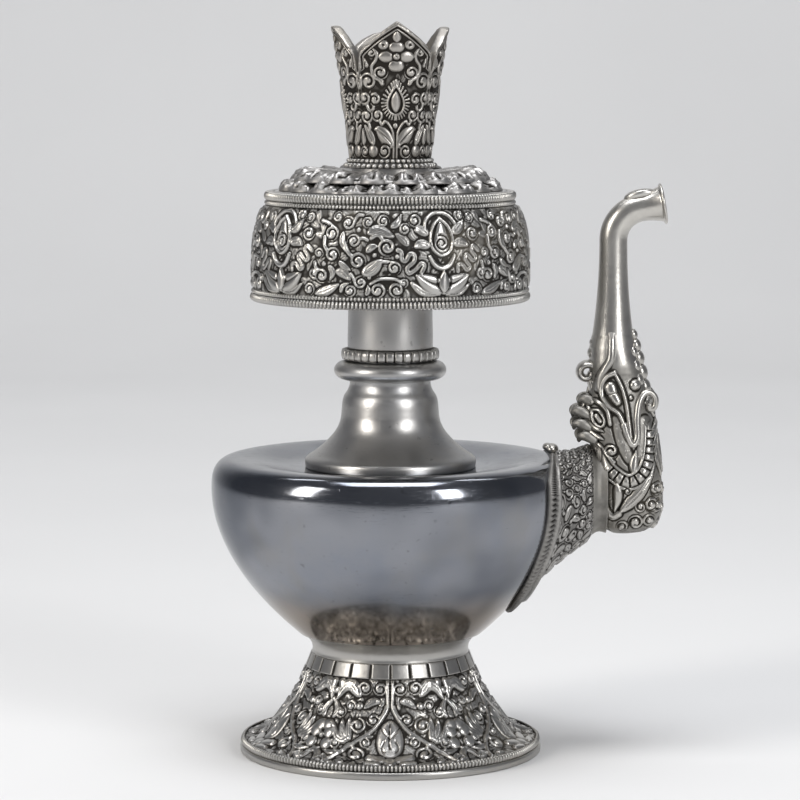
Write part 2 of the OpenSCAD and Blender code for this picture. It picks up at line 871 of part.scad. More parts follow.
// A shell emblem on three lotus leaves, with a ribbon on each side
module drum_emblem() {
  drum_leaf(-0.5, 23.5, 90, 15, 9.5);
  drum_leaf(0, 8, 90, 9, 4);
  for (side = [-1, 1]) {
    drum_leaf(7.2 * side, 6.4, 35 * side, 10, 4.6);
    drum_leaf(12.4 * side, 14.5, 40 * side, 11, 2.6);
    drum_curl(12 * side, 27, 3.2);
  }
}

// A panel of curls and leaves between two emblems
module drum_scrolls() {
  drum_curl(-10.2, 24.6, 3.2);
  drum_curl(-9.6, 16.6, 3.2);
  drum_curl(-13.6, 8.4, 3.2);
  drum_curl(1, 14.8, 3.5);
  drum_curl(0, 25.4, 3);
  drum_curl(2.4, 5.2, 3);
  drum_curl(12.6, 20.4, 3.7);
  drum_leaf(7.4, 12.4, 36, 9, 4);
  drum_leaf(9, 27.6, -6, 10, 3.6);
  drum_leaf(-9, 3.4, 15, 9, 3.4);
}

module drum_wall() {
  emblems = 5;
  color(chased) {
    rotate_extrude() polygon(concat(drum_line, reversed(inner_line(drum_line, wall))));
    for (i = [0:emblems - 1])
      rotate(i * 360 / emblems + drum_turn - 90) {
        drum_emblem();
        rotate(180 / emblems) drum_scrolls();
      }
  }
}

module drum_lower_bead_wire() {
  r = drum_r + solder_gap;
  color(chased) wire_ring(r, r + drum_bead_out, drum_z, drum_bead_h);
}

module drum_lower_fine_wire() {
  r = drum_r + solder_gap;
  color(chased) wire_ring(r, r + 0.6 * drum_bead_out, drum_z + drum_bead_h, drum_fine_h);
}

module drum_upper_fine_wire() {
  color(chased) wire_ring(top_wire_r - top_wire_w, top_wire_r - 0.4, drum_top_z, top_fine_h);
}

module drum_upper_bead_wire() {
  color(chased) wire_ring(top_wire_r - top_wire_w, top_wire_r, drum_top_z + top_fine_h, top_bead_h);
}

module drum_top_plate() {
  color(polished) ring(stem_bore_r, top_plate_r, lotus_z - wall, wall);
}

// One tier of pointed petals, cut from a thick disc
module lotus_tier(tip_d, z, turn) {
  points_per_petal = 8;
  count = lotus_petals * points_per_petal;
  color(chased) translate([0, 0, z]) rotate(turn) difference() {
    linear_extrude(lotus_h)
      polygon([
        for (i = [0:count - 1])
          let (
            f = (i % points_per_petal) / points_per_petal,
            r = tip_d / 2 - petal_l * (1 - pow(1 - abs(2 * f - 1), 0.6))
          )
          r * [cos(i * 360 / count), sin(i * 360 / count)],
      ]);
    translate([0, 0, -1]) cylinder(r = stem_bore_r, h = lotus_h + 2);
  }
}

module lotus_lower_tier() {
  lotus_tier(lotus_lower_d, lotus_z, 0);
}

module lotus_upper_tier() {
  lotus_tier(lotus_upper_d, lotus_z + lotus_h, 180 / lotus_petals);
}

// Crown

module crown_plug() {
  color(polished)
    ring(plug_r - wall, plug_r, crown_ring_z - crown_plug_l, crown_plug_l + crown_ring_h);
}

module crown_bead_ring() {
  color(chased) wire_ring(plug_r + solder_gap, crown_ring_d / 2, crown_ring_z, crown_ring_h);
}

// The cup's wall is a stack of cones
crown_steps = 6;
crown_line = [
  for (i = [0:crown_steps])
    let (t = i / crown_steps)
    [mix(crown_base_d / 2, crown_top_d / 2, 0.7 * t + 0.3 * t * t), crown_z + crown_h * t]
];

module crown_floor() {
  color(polished)
    ring(sprinkler_hole_d / 2, crown_base_d / 2 - crown_wall - solder_gap, crown_z, crown_floor_t);
}

// A cut between two lobes: a narrow slit that opens into the gap between two points
module lobe_cut() {
  half = crown_top_d / 2 * sin(180 / crown_lobes) - lobe_tip_w / 2;
  over = 5;
  slit_z = crown_z + crown_h - lobe_point_h - lobe_slit_h;
  point_z = slit_z + lobe_slit_h;
  tip_z = point_z + lobe_point_h;
  translate([0, -crown_base_d / 4, 0]) rotate([90, 0, 0]) linear_extrude(crown_top_d)
    polygon([
      [-lobe_slit_w / 4, slit_z], [lobe_slit_w / 4, slit_z],
      [lobe_slit_w, point_z], [half, tip_z], [half, tip_z + over],
      [-half, tip_z + over], [-half, tip_z], [-lobe_slit_w, point_z],
    ]);
}

module crown_cup() {
  color(chased) difference() {
    rotate_extrude()
      polygon(concat(crown_line, reversed(inner_line(crown_line, crown_wall))));
    for (i = [0:crown_lobes - 1])
      rotate(crown_turn + (i + 0.5) * 360 / crown_lobes) lobe_cut();
  }
}

foot_rim();
foot_bead_wire();
foot_shell();
foot_band();
foot_collar();
belly_bowl();
belly_shoulder();
neck_bell();
neck_moulding();
spout_socket();
socket_edge();
socket_lug();
spout_throat();
makara_head();
makara_eyes();
makara_jaws();
makara_ruffs();
makara_trunk_curl();
makara_lip_curl();
makara_crest();
spout_tube();
spout_lip();
spout_saddle();
sleeve();
stem_bead_ring();
stem_tube();
drum_base_plate();
drum_wall();
drum_lower_bead_wire();
drum_lower_fine_wire();
drum_upper_fine_wire();
drum_upper_bead_wire();
drum_top_plate();
lotus_lower_tier();
lotus_upper_tier();
crown_plug();
crown_bead_ring();
crown_floor();
crown_cup();
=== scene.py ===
"""Silver ritual ewer: smooth raised silver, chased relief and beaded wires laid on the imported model."""
import math

import bmesh
import bpy
import numpy as np
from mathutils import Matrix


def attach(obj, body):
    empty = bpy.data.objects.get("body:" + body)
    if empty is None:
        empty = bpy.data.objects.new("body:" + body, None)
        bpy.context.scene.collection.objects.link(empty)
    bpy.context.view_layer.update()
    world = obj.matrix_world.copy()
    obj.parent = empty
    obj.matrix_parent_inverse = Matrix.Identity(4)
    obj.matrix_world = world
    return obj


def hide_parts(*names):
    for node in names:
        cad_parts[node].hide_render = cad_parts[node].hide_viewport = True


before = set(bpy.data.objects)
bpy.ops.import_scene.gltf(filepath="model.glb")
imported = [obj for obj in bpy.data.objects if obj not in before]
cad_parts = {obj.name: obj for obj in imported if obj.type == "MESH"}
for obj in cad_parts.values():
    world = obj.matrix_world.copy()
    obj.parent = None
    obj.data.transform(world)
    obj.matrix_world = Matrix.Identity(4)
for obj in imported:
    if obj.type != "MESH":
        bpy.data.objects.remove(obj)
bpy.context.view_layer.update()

TAU = 2 * math.pi
dice = np.random.default_rng(17)

# Levels along the vase's axis and shared sizes, in millimetres
BAND_Z, COLLAR_Z, BELLY_Z, WIDE_Z = 35.5, 41.5, 50.0, 111.0
NECK_Z, CREST_Z, SEAT_Z, STEM_Z = 118.5, 122.3, 163.0, 167.5
DRUM_Z, DRUM_TOP_Z, CROWN_Z, CROWN_H = 187.5, 226.5, 245.5, 55.0
FOOT_MEAN_R, DRUM_MEAN_R, CROWN_MEAN_R = 45.0, 56.0, 20.0
BELLY_R, BOWL_H, BOWL_DRAW = 74.0, 61.0, 36.0
CREST_R, SHOULDER_W, SHOULDER_H, SHOULDER_POWER = 65.0, 9.0, 11.3, 0.8
SPOUT_Z, TUBE_X, SOCKET_HALF, THROAT_X = 108.5, 91.5, 38.0, 83.0

# Ornament that repeats round the axis, and where it faces
FOOT_REPEATS, DRUM_REPEATS, CROWN_LOBES, PETALS, NOTCHES = 5, 5, 4, 18, 26
FRONT, EMBLEM_X, EMBLEM_TURN, CROWN_TURN = -math.pi / 2, 18.0, math.radians(22), math.radians(7)

# The head's two maps: lowest level, height, rear edge, width, samples and height of its plain skin
HEAD_Z, HEAD_H, HEAD_X, HEAD_W = 91.0, 86.0, 76.0, 40.0
HEAD_ROWS, HEAD_COLS, HEAD_SKIN = 300, 150, 0.8


# Grids and pieces

def smooth(points, count):
    """Catmull-Rom curve through the points, sampled evenly by its own length."""
    p = np.asarray(points, float)
    p = np.vstack([2 * p[0] - p[1], p, 2 * p[-1] - p[-2]])
    t = np.linspace(0, len(p) - 3 - 1e-9, max(8 * (len(p) - 3), 32))
    i = t.astype(int)
    f = (t - i)[:, None]
    a, b, c, d = p[i], p[i + 1], p[i + 2], p[i + 3]
    line = 0.5 * (2 * b + (c - a) * f + (2 * a - 5 * b + 4 * c - d) * f ** 2
                  + (3 * b - a - 3 * c + d) * f ** 3)
    return even(line, count)


def even(line, count):
    """The polyline resampled at equal steps of its length."""
    step = np.r_[0, np.cumsum(np.linalg.norm(np.diff(line, axis=0), axis=1))]
    at = np.linspace(0, step[-1], count)
    return np.stack([np.interp(at, step, line[:, k]) for k in range(line.shape[1])], 1)


def unit(vectors):
    """The vectors at length 1."""
    return vectors / np.linalg.norm(vectors, axis=-1, keepdims=True)


def normals_of(line):
    """Right-hand normals of an open plane line: its tangent turned a quarter turn clockwise."""
    along = np.gradient(line, axis=0)
    side = np.stack([along[:, 1], -along[:, 0]], 1)
    return side / np.maximum(np.linalg.norm(side, axis=1, keepdims=True), 1e-9)


def sheet(points, wrap_rows=True, wrap_cols=True):
    """Points on a rows by columns grid, joined to quads; a wrapped direction closes on itself."""
    rows, cols = points.shape[:2]
    i = np.arange(rows if wrap_rows else rows - 1)
    j = np.arange(cols if wrap_cols else cols - 1)
    i2, j2 = (i + 1) % rows, (j + 1) % cols
    quads = np.stack([
        i[:, None] * cols + j, i[:, None] * cols + j2, i2[:, None] * cols + j2, i2[:, None] * cols + j,
    ], -1).reshape(-1, 4)
    return points.reshape(-1, 3), quads


def spun(r, z, turn):
    """Grids of radius and height carried round the axis, a column to each angle of turn."""
    return sheet(np.stack([r * np.cos(turn), r * np.sin(turn), z], -1))


def loop(points, count):
    """A closed outline resampled at equal steps, with its repeated end left off."""
    p = np.asarray(points, float)
    return even(np.vstack([p, p[:1]]), count)[:-1]


def skin_normals(skin):
    """Unit normals of a grid that wraps along its columns: its two steps' cross product."""
    return unit(np.cross(np.roll(skin, -1, 1) - np.roll(skin, 1, 1), np.gradient(skin, axis=0)))


def outward(points, quads):
    """The quads turned so that the closed sheet's volume, summed over its faces, is positive."""
    a, b, c, d = (points[quads[:, k]] for k in range(4))
    volume = np.einsum("ij,ij->i", a, np.cross(b, c) + np.cross(c, d)).sum()
    return quads if volume > 0 else quads[:, ::-1]


def piece(name, sheets, body, material, nodes=(), shade=None, weld=False):
    """One object from closed sheets in millimetres; shade is a value per point, 0 deep to 1 high."""
    points, quads, start = [], [], 0
    for p, q in sheets:
        points.append(p)
        quads.append(outward(p, q) + start)
        start += len(p)
    points = np.vstack(points) * 0.001
    quads = np.vstack(quads)
    mesh = bpy.data.meshes.new(name)
    mesh.vertices.add(len(points))
    mesh.vertices.foreach_set("co", points.ravel())
    mesh.loops.add(quads.size)
    mesh.loops.foreach_set("vertex_index", quads.ravel().astype(np.int32))
    mesh.polygons.add(len(quads))
    mesh.polygons.foreach_set("loop_start", np.arange(0, quads.size, 4, dtype=np.int32))
    mesh.update(calc_edges=True)
    level = mesh.attributes.new("level", "FLOAT", "POINT")
    level.data.foreach_set("value", np.full(len(points), 0.75) if shade is None else np.ravel(shade))
    if weld:
        bm = bmesh.new()
        bm.from_mesh(mesh)
        bmesh.ops.remove_doubles(bm, verts=bm.verts, dist=1e-6)
        bmesh.ops.dissolve_degenerate(bm, edges=bm.edges, dist=1e-7)
        bm.to_mesh(mesh)
        bm.free()
    mesh.validate()
    mesh.shade_smooth()
    obj = bpy.data.objects.new(name, mesh)
    bpy.context.collection.objects.link(obj)
    mesh.materials.append(material)
    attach(obj, body)
    if nodes:
        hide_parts(*nodes)
    return obj


def joined(parts):
    """The sheets and the levels of several parts, as one piece takes them."""
    sheets, levels = zip(*parts)
    return sheets, np.concatenate([level.ravel() for level in levels])


def turned(profile, cols, wobble=0.0):
    """A closed profile of (radius, height) points carried round the axis; wobble dents it softly."""
    p = np.asarray(profile, float)
    turn = np.arange(cols) * TAU / cols
    r = np.repeat(p[:, :1], cols, 1)
    z = np.repeat(p[:, 1:], cols, 1)
    if wobble:
        wave = (np.sin(3 * turn + 0.07 * z) + 0.7 * np.sin(5 * turn - 0.11 * z + 1.3)
                + 0.5 * np.sin(8 * turn + 0.19 * z + 0.4))
        r = r + wobble * wave * np.minimum(r / 20, 1)
    return spun(r, z, turn)


def shell(outer, wall, count):
    """A wall of given thickness inside an open outline, as one closed profile."""
    line = smooth(outer, count)
    inner = line - wall * normals_of(line)
    inner[:, 1] = np.clip(inner[:, 1], min(line[0, 1], line[-1, 1]), max(line[:, 1].max(), line[0, 1]))
    return np.vstack([line, even(inner, count // 2)[::-1]])


def bead_ring(radius, z, half_h, out, count, per_bead=6):
    """A flattened torus whose section swells and narrows once a bead, so that it reads as a beaded wire."""
    rows, cols = 12, count * per_bead
    turn = np.arange(cols) * TAU / cols
    ring = np.arange(rows) * TAU / rows
    swell = 1 - 0.95 * np.abs(np.cos(turn * count / 2)) ** 5
    uneven = 1 + 0.10 * np.sin(turn * 7 + 1) * np.sin(turn * 13)
    r = radius + np.cos(ring)[:, None] * out * swell * uneven * np.where(np.cos(ring) > 0, 1, 0.3)[:, None]
    zz = z + np.sin(ring)[:, None] * half_h * (0.72 + 0.28 * swell)
    level = np.clip(0.15 + 0.85 * swell[None, :] * (0.5 + 0.5 * np.cos(ring)[:, None]), 0, 1)
    return spun(r, zz, turn), level


def ball(centre, radii, turn=0.0):
    """An ellipsoid with its poles drawn together, turned in the spout's plane."""
    rows, cols = 14, 22
    a = np.linspace(0, math.pi, rows)[:, None]
    b = (np.arange(cols) * TAU / cols)[None, :]
    x = radii[0] * np.sin(a) * np.cos(b)
    y = radii[1] * np.sin(a) * np.sin(b)
    z = radii[2] * np.cos(a) * np.ones_like(b)
    x, z = x * math.cos(turn) - z * math.sin(turn), x * math.sin(turn) + z * math.cos(turn)
    return sheet(np.stack([x + centre[0], y + centre[1], z + centre[2]], -1), wrap_rows=False)


def carried(path, radii, across, up):
    """A row of points round each point of a path, at the radii of a rows by columns grid."""
    b = (np.arange(radii.shape[1]) * TAU / radii.shape[1])[:, None]
    return path[:, None] + radii[..., None] * (np.cos(b) * across[:, None] + np.sin(b) * up[:, None])


def tube(path, radii, cols, flat, depth_axis=(0, 1, 0)):
    """A round wire along a path in space, closed at both ends; flat widens it along depth_axis."""
    p = np.asarray(path, float)
    r = np.asarray(radii, float)
    along = unit(np.gradient(p, axis=0))
    across = np.broadcast_to(np.asarray(depth_axis, float), p.shape)
    across = unit(across - along * np.einsum("ij,ij->i", across, along)[:, None])
    up = np.cross(along, across)
    ends = [(-0.45, 0.001), (-0.3, 0.6), (-0.12, 0.88)]
    p = np.vstack([p[0] + along[0] * r[0] * k for k, _ in ends]
                  + [p] + [p[-1] - along[-1] * r[-1] * k for k, _ in ends[::-1]])
    r = np.r_[[r[0] * k for _, k in ends], r, [r[-1] * k for _, k in ends[::-1]]]
    across = np.vstack([across[:1]] * 3 + [across] + [across[-1:]] * 3)
    up = np.vstack([up[:1]] * 3 + [up] + [up[-1:]] * 3)
    return sheet(carried(p, np.repeat(r[:, None], cols, 1), across * flat, up), wrap_rows=False)


# Relief

class Relief:
    """A height map in millimetres. Motifs are raised on it and keep the higher of old and new."""

    def __init__(self, width, height, cols, rows, stretch=None, wrap=True):
        self.width, self.cols, self.rows, self.wrap = width, cols, rows, wrap
        self.dx, self.y = width / cols, np.linspace(0, height, rows)
        self.stretch = np.ones(rows) if stretch is None else stretch
        self.h = np.zeros((rows, cols))
        self.origin, self.side = 0.0, 1

    def field(self, path, half):
        """Nearby grid points, each one's scaled distance to the path's closest sample, and that sample."""
        p = np.asarray(path, float)
        half = np.broadcast_to(np.asarray(half, float), (len(p),))
        k = np.interp(p[:, 1], self.y, self.stretch)
        px = self.origin + self.side * p[:, 0] / k
        reach = half.max() / k.min()
        j = np.arange(math.floor((px.min() - reach) / self.dx), math.ceil((px.max() + reach) / self.dx) + 1)
        if not self.wrap:
            j = j[(j >= 0) & (j < self.cols)]
        i = np.nonzero((self.y > p[:, 1].min() - half.max()) & (self.y < p[:, 1].max() + half.max()))[0]
        x = (j + 0.5) * self.dx
        dx = (x[None, :, None] - px) * self.stretch[i][:, None, None]
        dy = self.y[i][:, None, None] - p[:, 1]
        q = np.sqrt(dx * dx + dy * dy) / half
        best = q.argmin(-1)
        return np.ix_(i, j % self.cols), np.take_along_axis(q, best[..., None], -1)[..., 0], best

    def stroke(self, path, half, high, power=0.6):
        """A rounded ridge: height times (1 - distance squared) to a power, half wide on each side."""
        spot, q, best = self.field(path, half)
        high = np.broadcast_to(np.asarray(high, float), (len(path),))[best]
        self.h[spot] = np.maximum(self.h[spot], high * np.clip(1 - q * q, 0, 1) ** power)

    def cut(self, path, half, deep):
        """A groove pressed into what is already raised."""
        spot, q, _ = self.field(path, half)
        self.h[spot] = self.h[spot] - np.minimum(deep * np.clip(1 - q * q, 0, 1), self.h[spot])

    def ridge(self, points, count, half, high, power=0.6):
        """A stroke along the smooth curve through the points, which it gives back."""
        path = smooth(points, count)
        self.stroke(path, half, high, power)
        return path

    def groove(self, points, count, half, deep):
        """A cut along the smooth curve through the points."""
        self.cut(smooth(points, count), half, deep)

    def dome(self, x, y, r, high, power=0.5):
        """A round boss: a stroke of one point."""
        self.stroke([(x, y)], r, high, power)

    def leaf(self, points, half, high, vein=True):
        """A pointed leaf along a curve: its half width swells as the sine of the way along, with a vein."""
        line = smooth(points, 26)
        t = np.linspace(0, 1, 26)
        wide = np.maximum(half * np.sin(math.pi * t ** 0.75) ** 0.8, 0.15)
        self.stroke(line, wide, high, 0.5)
        if vein:
            self.cut(line[4:21], 0.34, 0.4 * high)
        if vein and half > 1.8:
            side = normals_of(line) * 0.52 * wide[:, None]
            self.cut((line + side)[6:19], 0.28, 0.25 * high)
            self.cut((line - side)[6:19], 0.28, 0.25 * high)

    def scroll(self, x, y, r, high, start=0.0, hand=1, turns=1.25, half=None, stem=None):
        """A round boss with a spiral groove wound into it from its edge; a stem may lead into it."""
        half = half or 0.24 * r
        t = np.linspace(0, 1, 48)
        a = math.radians(start) + hand * (0.5 + turns * TAU * t)
        self.dome(x, y, r, high, 0.36)
        if stem is not None:
            a0 = math.radians(start)
            join = (x + (r - half) * math.cos(a0), y + (r - half) * math.sin(a0))
            self.ridge([*stem, join], 30, half, high)
        rad = r * (1.0 - 0.68 * t)
        self.cut(np.stack([x + rad * np.cos(a), y + rad * np.sin(a)], 1), 0.17 * r, 0.85 * high)
        self.dome(x, y, 0.24 * r, 1.1 * high)

    def both(self, draw):
        """Draws a motif and its mirror image."""
        for self.side in (1, -1):
            draw()
        self.side = 1

    def ground(self, level, grain, leaves, high):
        """Lifts the bare ground to a level with low scattered leaves, all but a channel round each motif."""
        low = Relief(self.width, self.y[-1], self.cols, self.rows, self.stretch, self.wrap)
        spans = ((0, self.width), (0, self.y[-1]), (0, TAU), (1.3, 2.1))
        for x, y, a, half in zip(*(dice.uniform(*span, leaves) for span in spans)):
            low.origin = x
            c, s = math.cos(a), math.sin(a)
            low.leaf([(-3.4 * c, y - 3.4 * s), (0.6 * s, y - 0.6 * c), (3.4 * c, y + 3.4 * s)], half,
                     high * (0.75 + 0.1 * half))
        near = soften(soften(np.clip(self.h / 0.35, 0, 1), 1), 1)
        rough = soften(dice.random(self.h.shape), 1) - 0.5
        fill = (np.maximum(level, low.h) + grain * rough) * (1 - np.clip(near * 2.2, 0, 1))
        self.h = np.maximum(self.h, fill)


def soften(field, n):
    """Box blur of half width n in both directions; columns wrap round."""
    k = 2 * n + 1
    wide = np.pad(field, ((0, 0), (n, n)), "wrap")
    run = np.cumsum(np.pad(wide, ((0, 0), (1, 0))), 1)
    field = (run[:, k:] - run[:, :-k]) / k
    tall = np.pad(field, ((n, n), (0, 0)), "edge")
    run = np.cumsum(np.pad(tall, ((1, 0), (0, 0))), 0)
    return (run[k:] - run[:-k]) / k


def levels_of(h, n, span):
    """How far each point stands above its soft surroundings, from 0 in a recess to 1 on a ridge."""
    near = soften(soften(h, n), n)
    return np.clip(0.22 + 0.50 * (h - near) / span + 0.48 * h / float(h.max()), 0, 1)


def chased_wall(line, h, high, turn, level, inner, plain, below=np.zeros((0, 2))):
    """Relief raised along an outline's normals, with plain points below it and inside it; and its levels."""
    side = normals_of(line)
    i = np.arange(len(line))
    lift = high * h * np.clip(np.minimum(i, i[::-1]) / 3.0, 0, 1)[:, None]
    cols = len(turn)
    flat = np.ones(cols)
    r, z = (np.vstack([np.outer(below[:, k], flat), line[:, k, None] + side[:, k, None] * lift,
                       np.outer(inner[:, k], flat)]) for k in (0, 1))
    level = np.vstack([np.full((len(below), cols), plain), level, np.full((len(inner), cols), plain)])
    return spun(r, z, turn), level


# Shaders

def operator(kind, swapped=False):
    """A method that joins its two values with one Math node."""
    def apply(self, other):
        a, b = (other, self) if swapped else (self, other)
        return self.maker.node("ShaderNodeMath", {"operation": kind}, {0: a, 1: b})
    return apply


class Val:
    """A shader socket that takes part in arithmetic: each operator adds one Math node."""

    def __init__(self, maker, socket):
        self.maker, self.socket = maker, socket

    __add__ = operator("ADD")
    __radd__ = operator("ADD", True)
    __sub__ = operator("SUBTRACT")
    __rsub__ = operator("SUBTRACT", True)
    __mul__ = operator("MULTIPLY")


class Finish:
    """A node material: node() makes any node, settings first, and returns its output as a Val."""

    def __init__(self, name):
        self.mat = bpy.data.materials.new(name)
        self.mat.use_nodes = True
        self.tree = self.mat.node_tree
        self.bsdf = self.tree.nodes["Principled BSDF"]

    def node(self, kind, settings=None, sockets=None, out=0):
        made = self.tree.nodes.new(kind)
        for key, value in (settings or {}).items():
            setattr(made, key, value)
        for key, value in (sockets or {}).items():
            self.feed(made.inputs[key], value)
        return Val(self, made.outputs[out])

    def feed(self, socket, value):
        """Links a Val to the socket, or sets the socket to a plain value."""
        if isinstance(value, Val):
            self.tree.links.new(value.socket, socket)
        else:
            socket.default_value = value

    def set(self, **values):
        """Feeds the shader's inputs, named with _ for a space, and gives the material back."""
        for key, value in values.items():
            self.feed(self.bsdf.inputs[key.replace("_", " ")], value)
        return self.mat

    def place(self):
        """The object's own coordinates, so that the finish moves with the piece."""
        return self.node("ShaderNodeTexCoord", out="Object")

    def noise(self, where, scale, detail=3.0, rough=0.55, stretch=None):
        """Noise from 0 to 1; a larger stretch along an axis makes it finer that way."""
        if stretch:
            where = self.node("ShaderNodeMapping", None, {"Vector": where, "Scale": stretch})
        return self.node("ShaderNodeTexNoise", None, {"Vector": where, "Scale": scale, "Detail": detail,
                                                      "Roughness": rough})

    def ramp(self, value, low, high):
        """0 where the value is low, 1 where it is high, smooth between."""
        return self.node("ShaderNodeMapRange", {"interpolation_type": "SMOOTHSTEP"},
                         {"Value": value, "From Min": low, "From Max": high})

    def blend(self, factor, a, b):
        """Colour a where the factor is 0 and b where it is 1."""
        a = a if isinstance(a, Val) else (*a, 1)
        b = b if isinstance(b, Val) else (*b, 1)
        return self.node("ShaderNodeMix", {"data_type": "RGBA"}, {0: factor, 6: a, 7: b}, out=2)

    def bump(self, height, strength, distance):
        return self.node("ShaderNodeBump", None, {"Strength": strength, "Distance": distance,
                                                  "Height": height})


def tinted(tone, *by):
    """A colour with each of its channels multiplied."""
    return tuple(t * k for t, k in zip(tone, by))


def polished_silver(name, tone, rough, clouds=1.0, patches=0.0):
    """Hand-raised silver: dark patches, blue and straw tarnish clouds, scratches, pits and hammer ripples.
    Where there are patches, a warm brown painted reflection of the foot is laid on the metal low down,
    towards the foot."""
    m = Finish(name)
    here = m.place()
    cloud = m.noise(here, 22, 4, 0.6)
    warm = m.noise(here, 34, 3, 0.5, (1.0, 1.0, 0.6))
    scratch = m.noise(here, 240, 2, 0.6, (1.0, 1.0, 9.0))
    cross = m.noise(here, 300, 2, 0.6, (7.0, 0.6, 0.6))
    pits = m.noise(here, 420, 1, 0.4)
    ripple = m.noise(here, 36, 2, 0.4)
    blue, straw = tinted(tone, 0.80, 0.87, 0.98), tinted(tone, 0.98, 0.92, 0.80)
    grey = tinted(tone, 0.62, 0.62, 0.62)
    colour = m.blend(m.ramp(cloud, 0.45, 0.72) * (0.55 * clouds), tone, blue)
    colour = m.blend(m.ramp(warm, 0.55, 0.74) * (0.55 * clouds), colour, straw)
    if patches:
        shade = m.noise(here, 11, 3, 0.55, (1.0, 1.0, 1.3))
        colour = m.blend(m.ramp(shade, 0.36, 0.60) * patches, colour, tinted(tone, 0.26, 0.29, 0.34))
        # Painted reflection: the metal's lowest part, next to the foot, is tinted warm brown as though it
        # mirrored the foot.
        low = m.node("ShaderNodeSeparateXYZ", None, {"Vector": here}, out="Z")
        painted_foot_reflection = m.ramp(low + (cloud - 0.5) * 0.010, 0.074, 0.058)
        colour = m.blend(painted_foot_reflection * 0.8, colour, tinted(tone, 1.30, 1.05, 0.78))
    colour = m.blend(m.ramp(pits, 0.70, 0.80) * 0.7, colour, grey)
    colour = m.blend(m.ramp(scratch, 0.62, 0.78) * 0.22, colour, grey)
    polish = rough + m.ramp(cloud, 0.4, 0.8) * 0.10 + m.ramp(scratch, 0.5, 0.8) * 0.10
    height = (ripple * 0.5 - m.ramp(scratch, 0.60, 0.80) * 0.05 - m.ramp(cross, 0.64, 0.8) * 0.05
              - m.ramp(pits, 0.70, 0.80) * 0.12)
    return m.set(Base_Color=colour, Metallic=1.0, Roughness=polish, Normal=m.bump(height, 0.35, 0.0006))


def chased_silver(name, bright, dark, rough):
    """Relief silver: bright rubbed ridges, warm grey slopes and black oxide left in the recesses, with a
    painted highlight on the highest ridges.
    """
    m = Finish(name)
    here = m.place()
    level = m.node("ShaderNodeAttribute", {"attribute_name": "level"}, out="Fac")
    grain = m.noise(here, 160, 3, 0.6)
    fine = m.noise(here, 620, 2, 0.6)
    patch = m.noise(here, 26, 3, 0.5)
    wear_and_highlight = level + (grain - 0.5) * 0.30 + (patch - 0.5) * 0.18
    middle = tuple(0.55 * b + 0.45 * d for b, d in zip(bright, dark))
    colour = m.blend(m.ramp(wear_and_highlight, 0.16, 0.40), dark, middle)
    colour = m.blend(m.ramp(wear_and_highlight, 0.36, 0.72), colour, bright)
    colour = m.blend(m.ramp(patch, 0.54, 0.72) * 0.25, colour, tinted(bright, 0.97, 0.90, 0.76))
    # Painted highlight: where the level is highest, the colour is lifted towards a brighter silver.
    painted_highlight = tuple(min(b * 1.4, 0.9) for b in bright)
    colour = m.blend(m.ramp(wear_and_highlight, 0.82, 1.10) * 0.7, colour, painted_highlight)
    shine = rough + 0.34 - m.ramp(wear_and_highlight, 0.20, 0.75) * 0.34 + (fine - 0.5) * 0.12
    return m.set(Base_Color=colour, Metallic=1.0, Roughness=shine,
                 Normal=m.bump(fine * 0.4 + grain, 0.25, 0.0004))


# The belly's tone is far darker than the neck's: a painted dark reflection, standing in for a dark room
# mirrored in the polished belly.
belly_silver = polished_silver("belly_silver", (0.27, 0.28, 0.305), 0.13, 1.0, 0.8)
neck_silver = polished_silver("neck_silver", (0.48, 0.47, 0.455), 0.32, 0.8)
spout_silver = polished_silver("spout_silver", (0.60, 0.58, 0.54), 0.30, 0.6)
drum_silver = chased_silver("drum_silver", (0.47, 0.46, 0.44), (0.040, 0.037, 0.034), 0.30)
foot_silver = chased_silver("foot_silver", (0.49, 0.48, 0.46), (0.040, 0.037, 0.034), 0.30)
crown_silver = chased_silver("crown_silver", (0.43, 0.41, 0.38), (0.040, 0.036, 0.032), 0.34)
lotus_silver = chased_silver("lotus_silver", (0.42, 0.41, 0.40), (0.040, 0.037, 0.034), 0.40)
head_silver = chased_silver("head_silver", (0.47, 0.455, 0.425), (0.040, 0.037, 0.032), 0.31)
socket_silver = chased_silver("socket_silver", (0.36, 0.35, 0.335), (0.036, 0.033, 0.030), 0.33)
bead_silver = chased_silver("bead_silver", (0.45, 0.44, 0.42), (0.042, 0.039, 0.035), 0.33)


# Foot

def foot_line(t):
    """Outline of the foot from its rim (t 0) to the band (t 1): a flat toe, then a slightly hollow cone."""
    return smooth([(61.0, 4.9), (57.0, 5.5), (53.2, 7.0), (50.0, 9.4), (45.4, 15.4), (41.0, 21.8),
                   (37.5, 27.6), (35.4, 32.6), (34.6, 35.5)], 400)[(np.asarray(t) * 399).astype(int)]


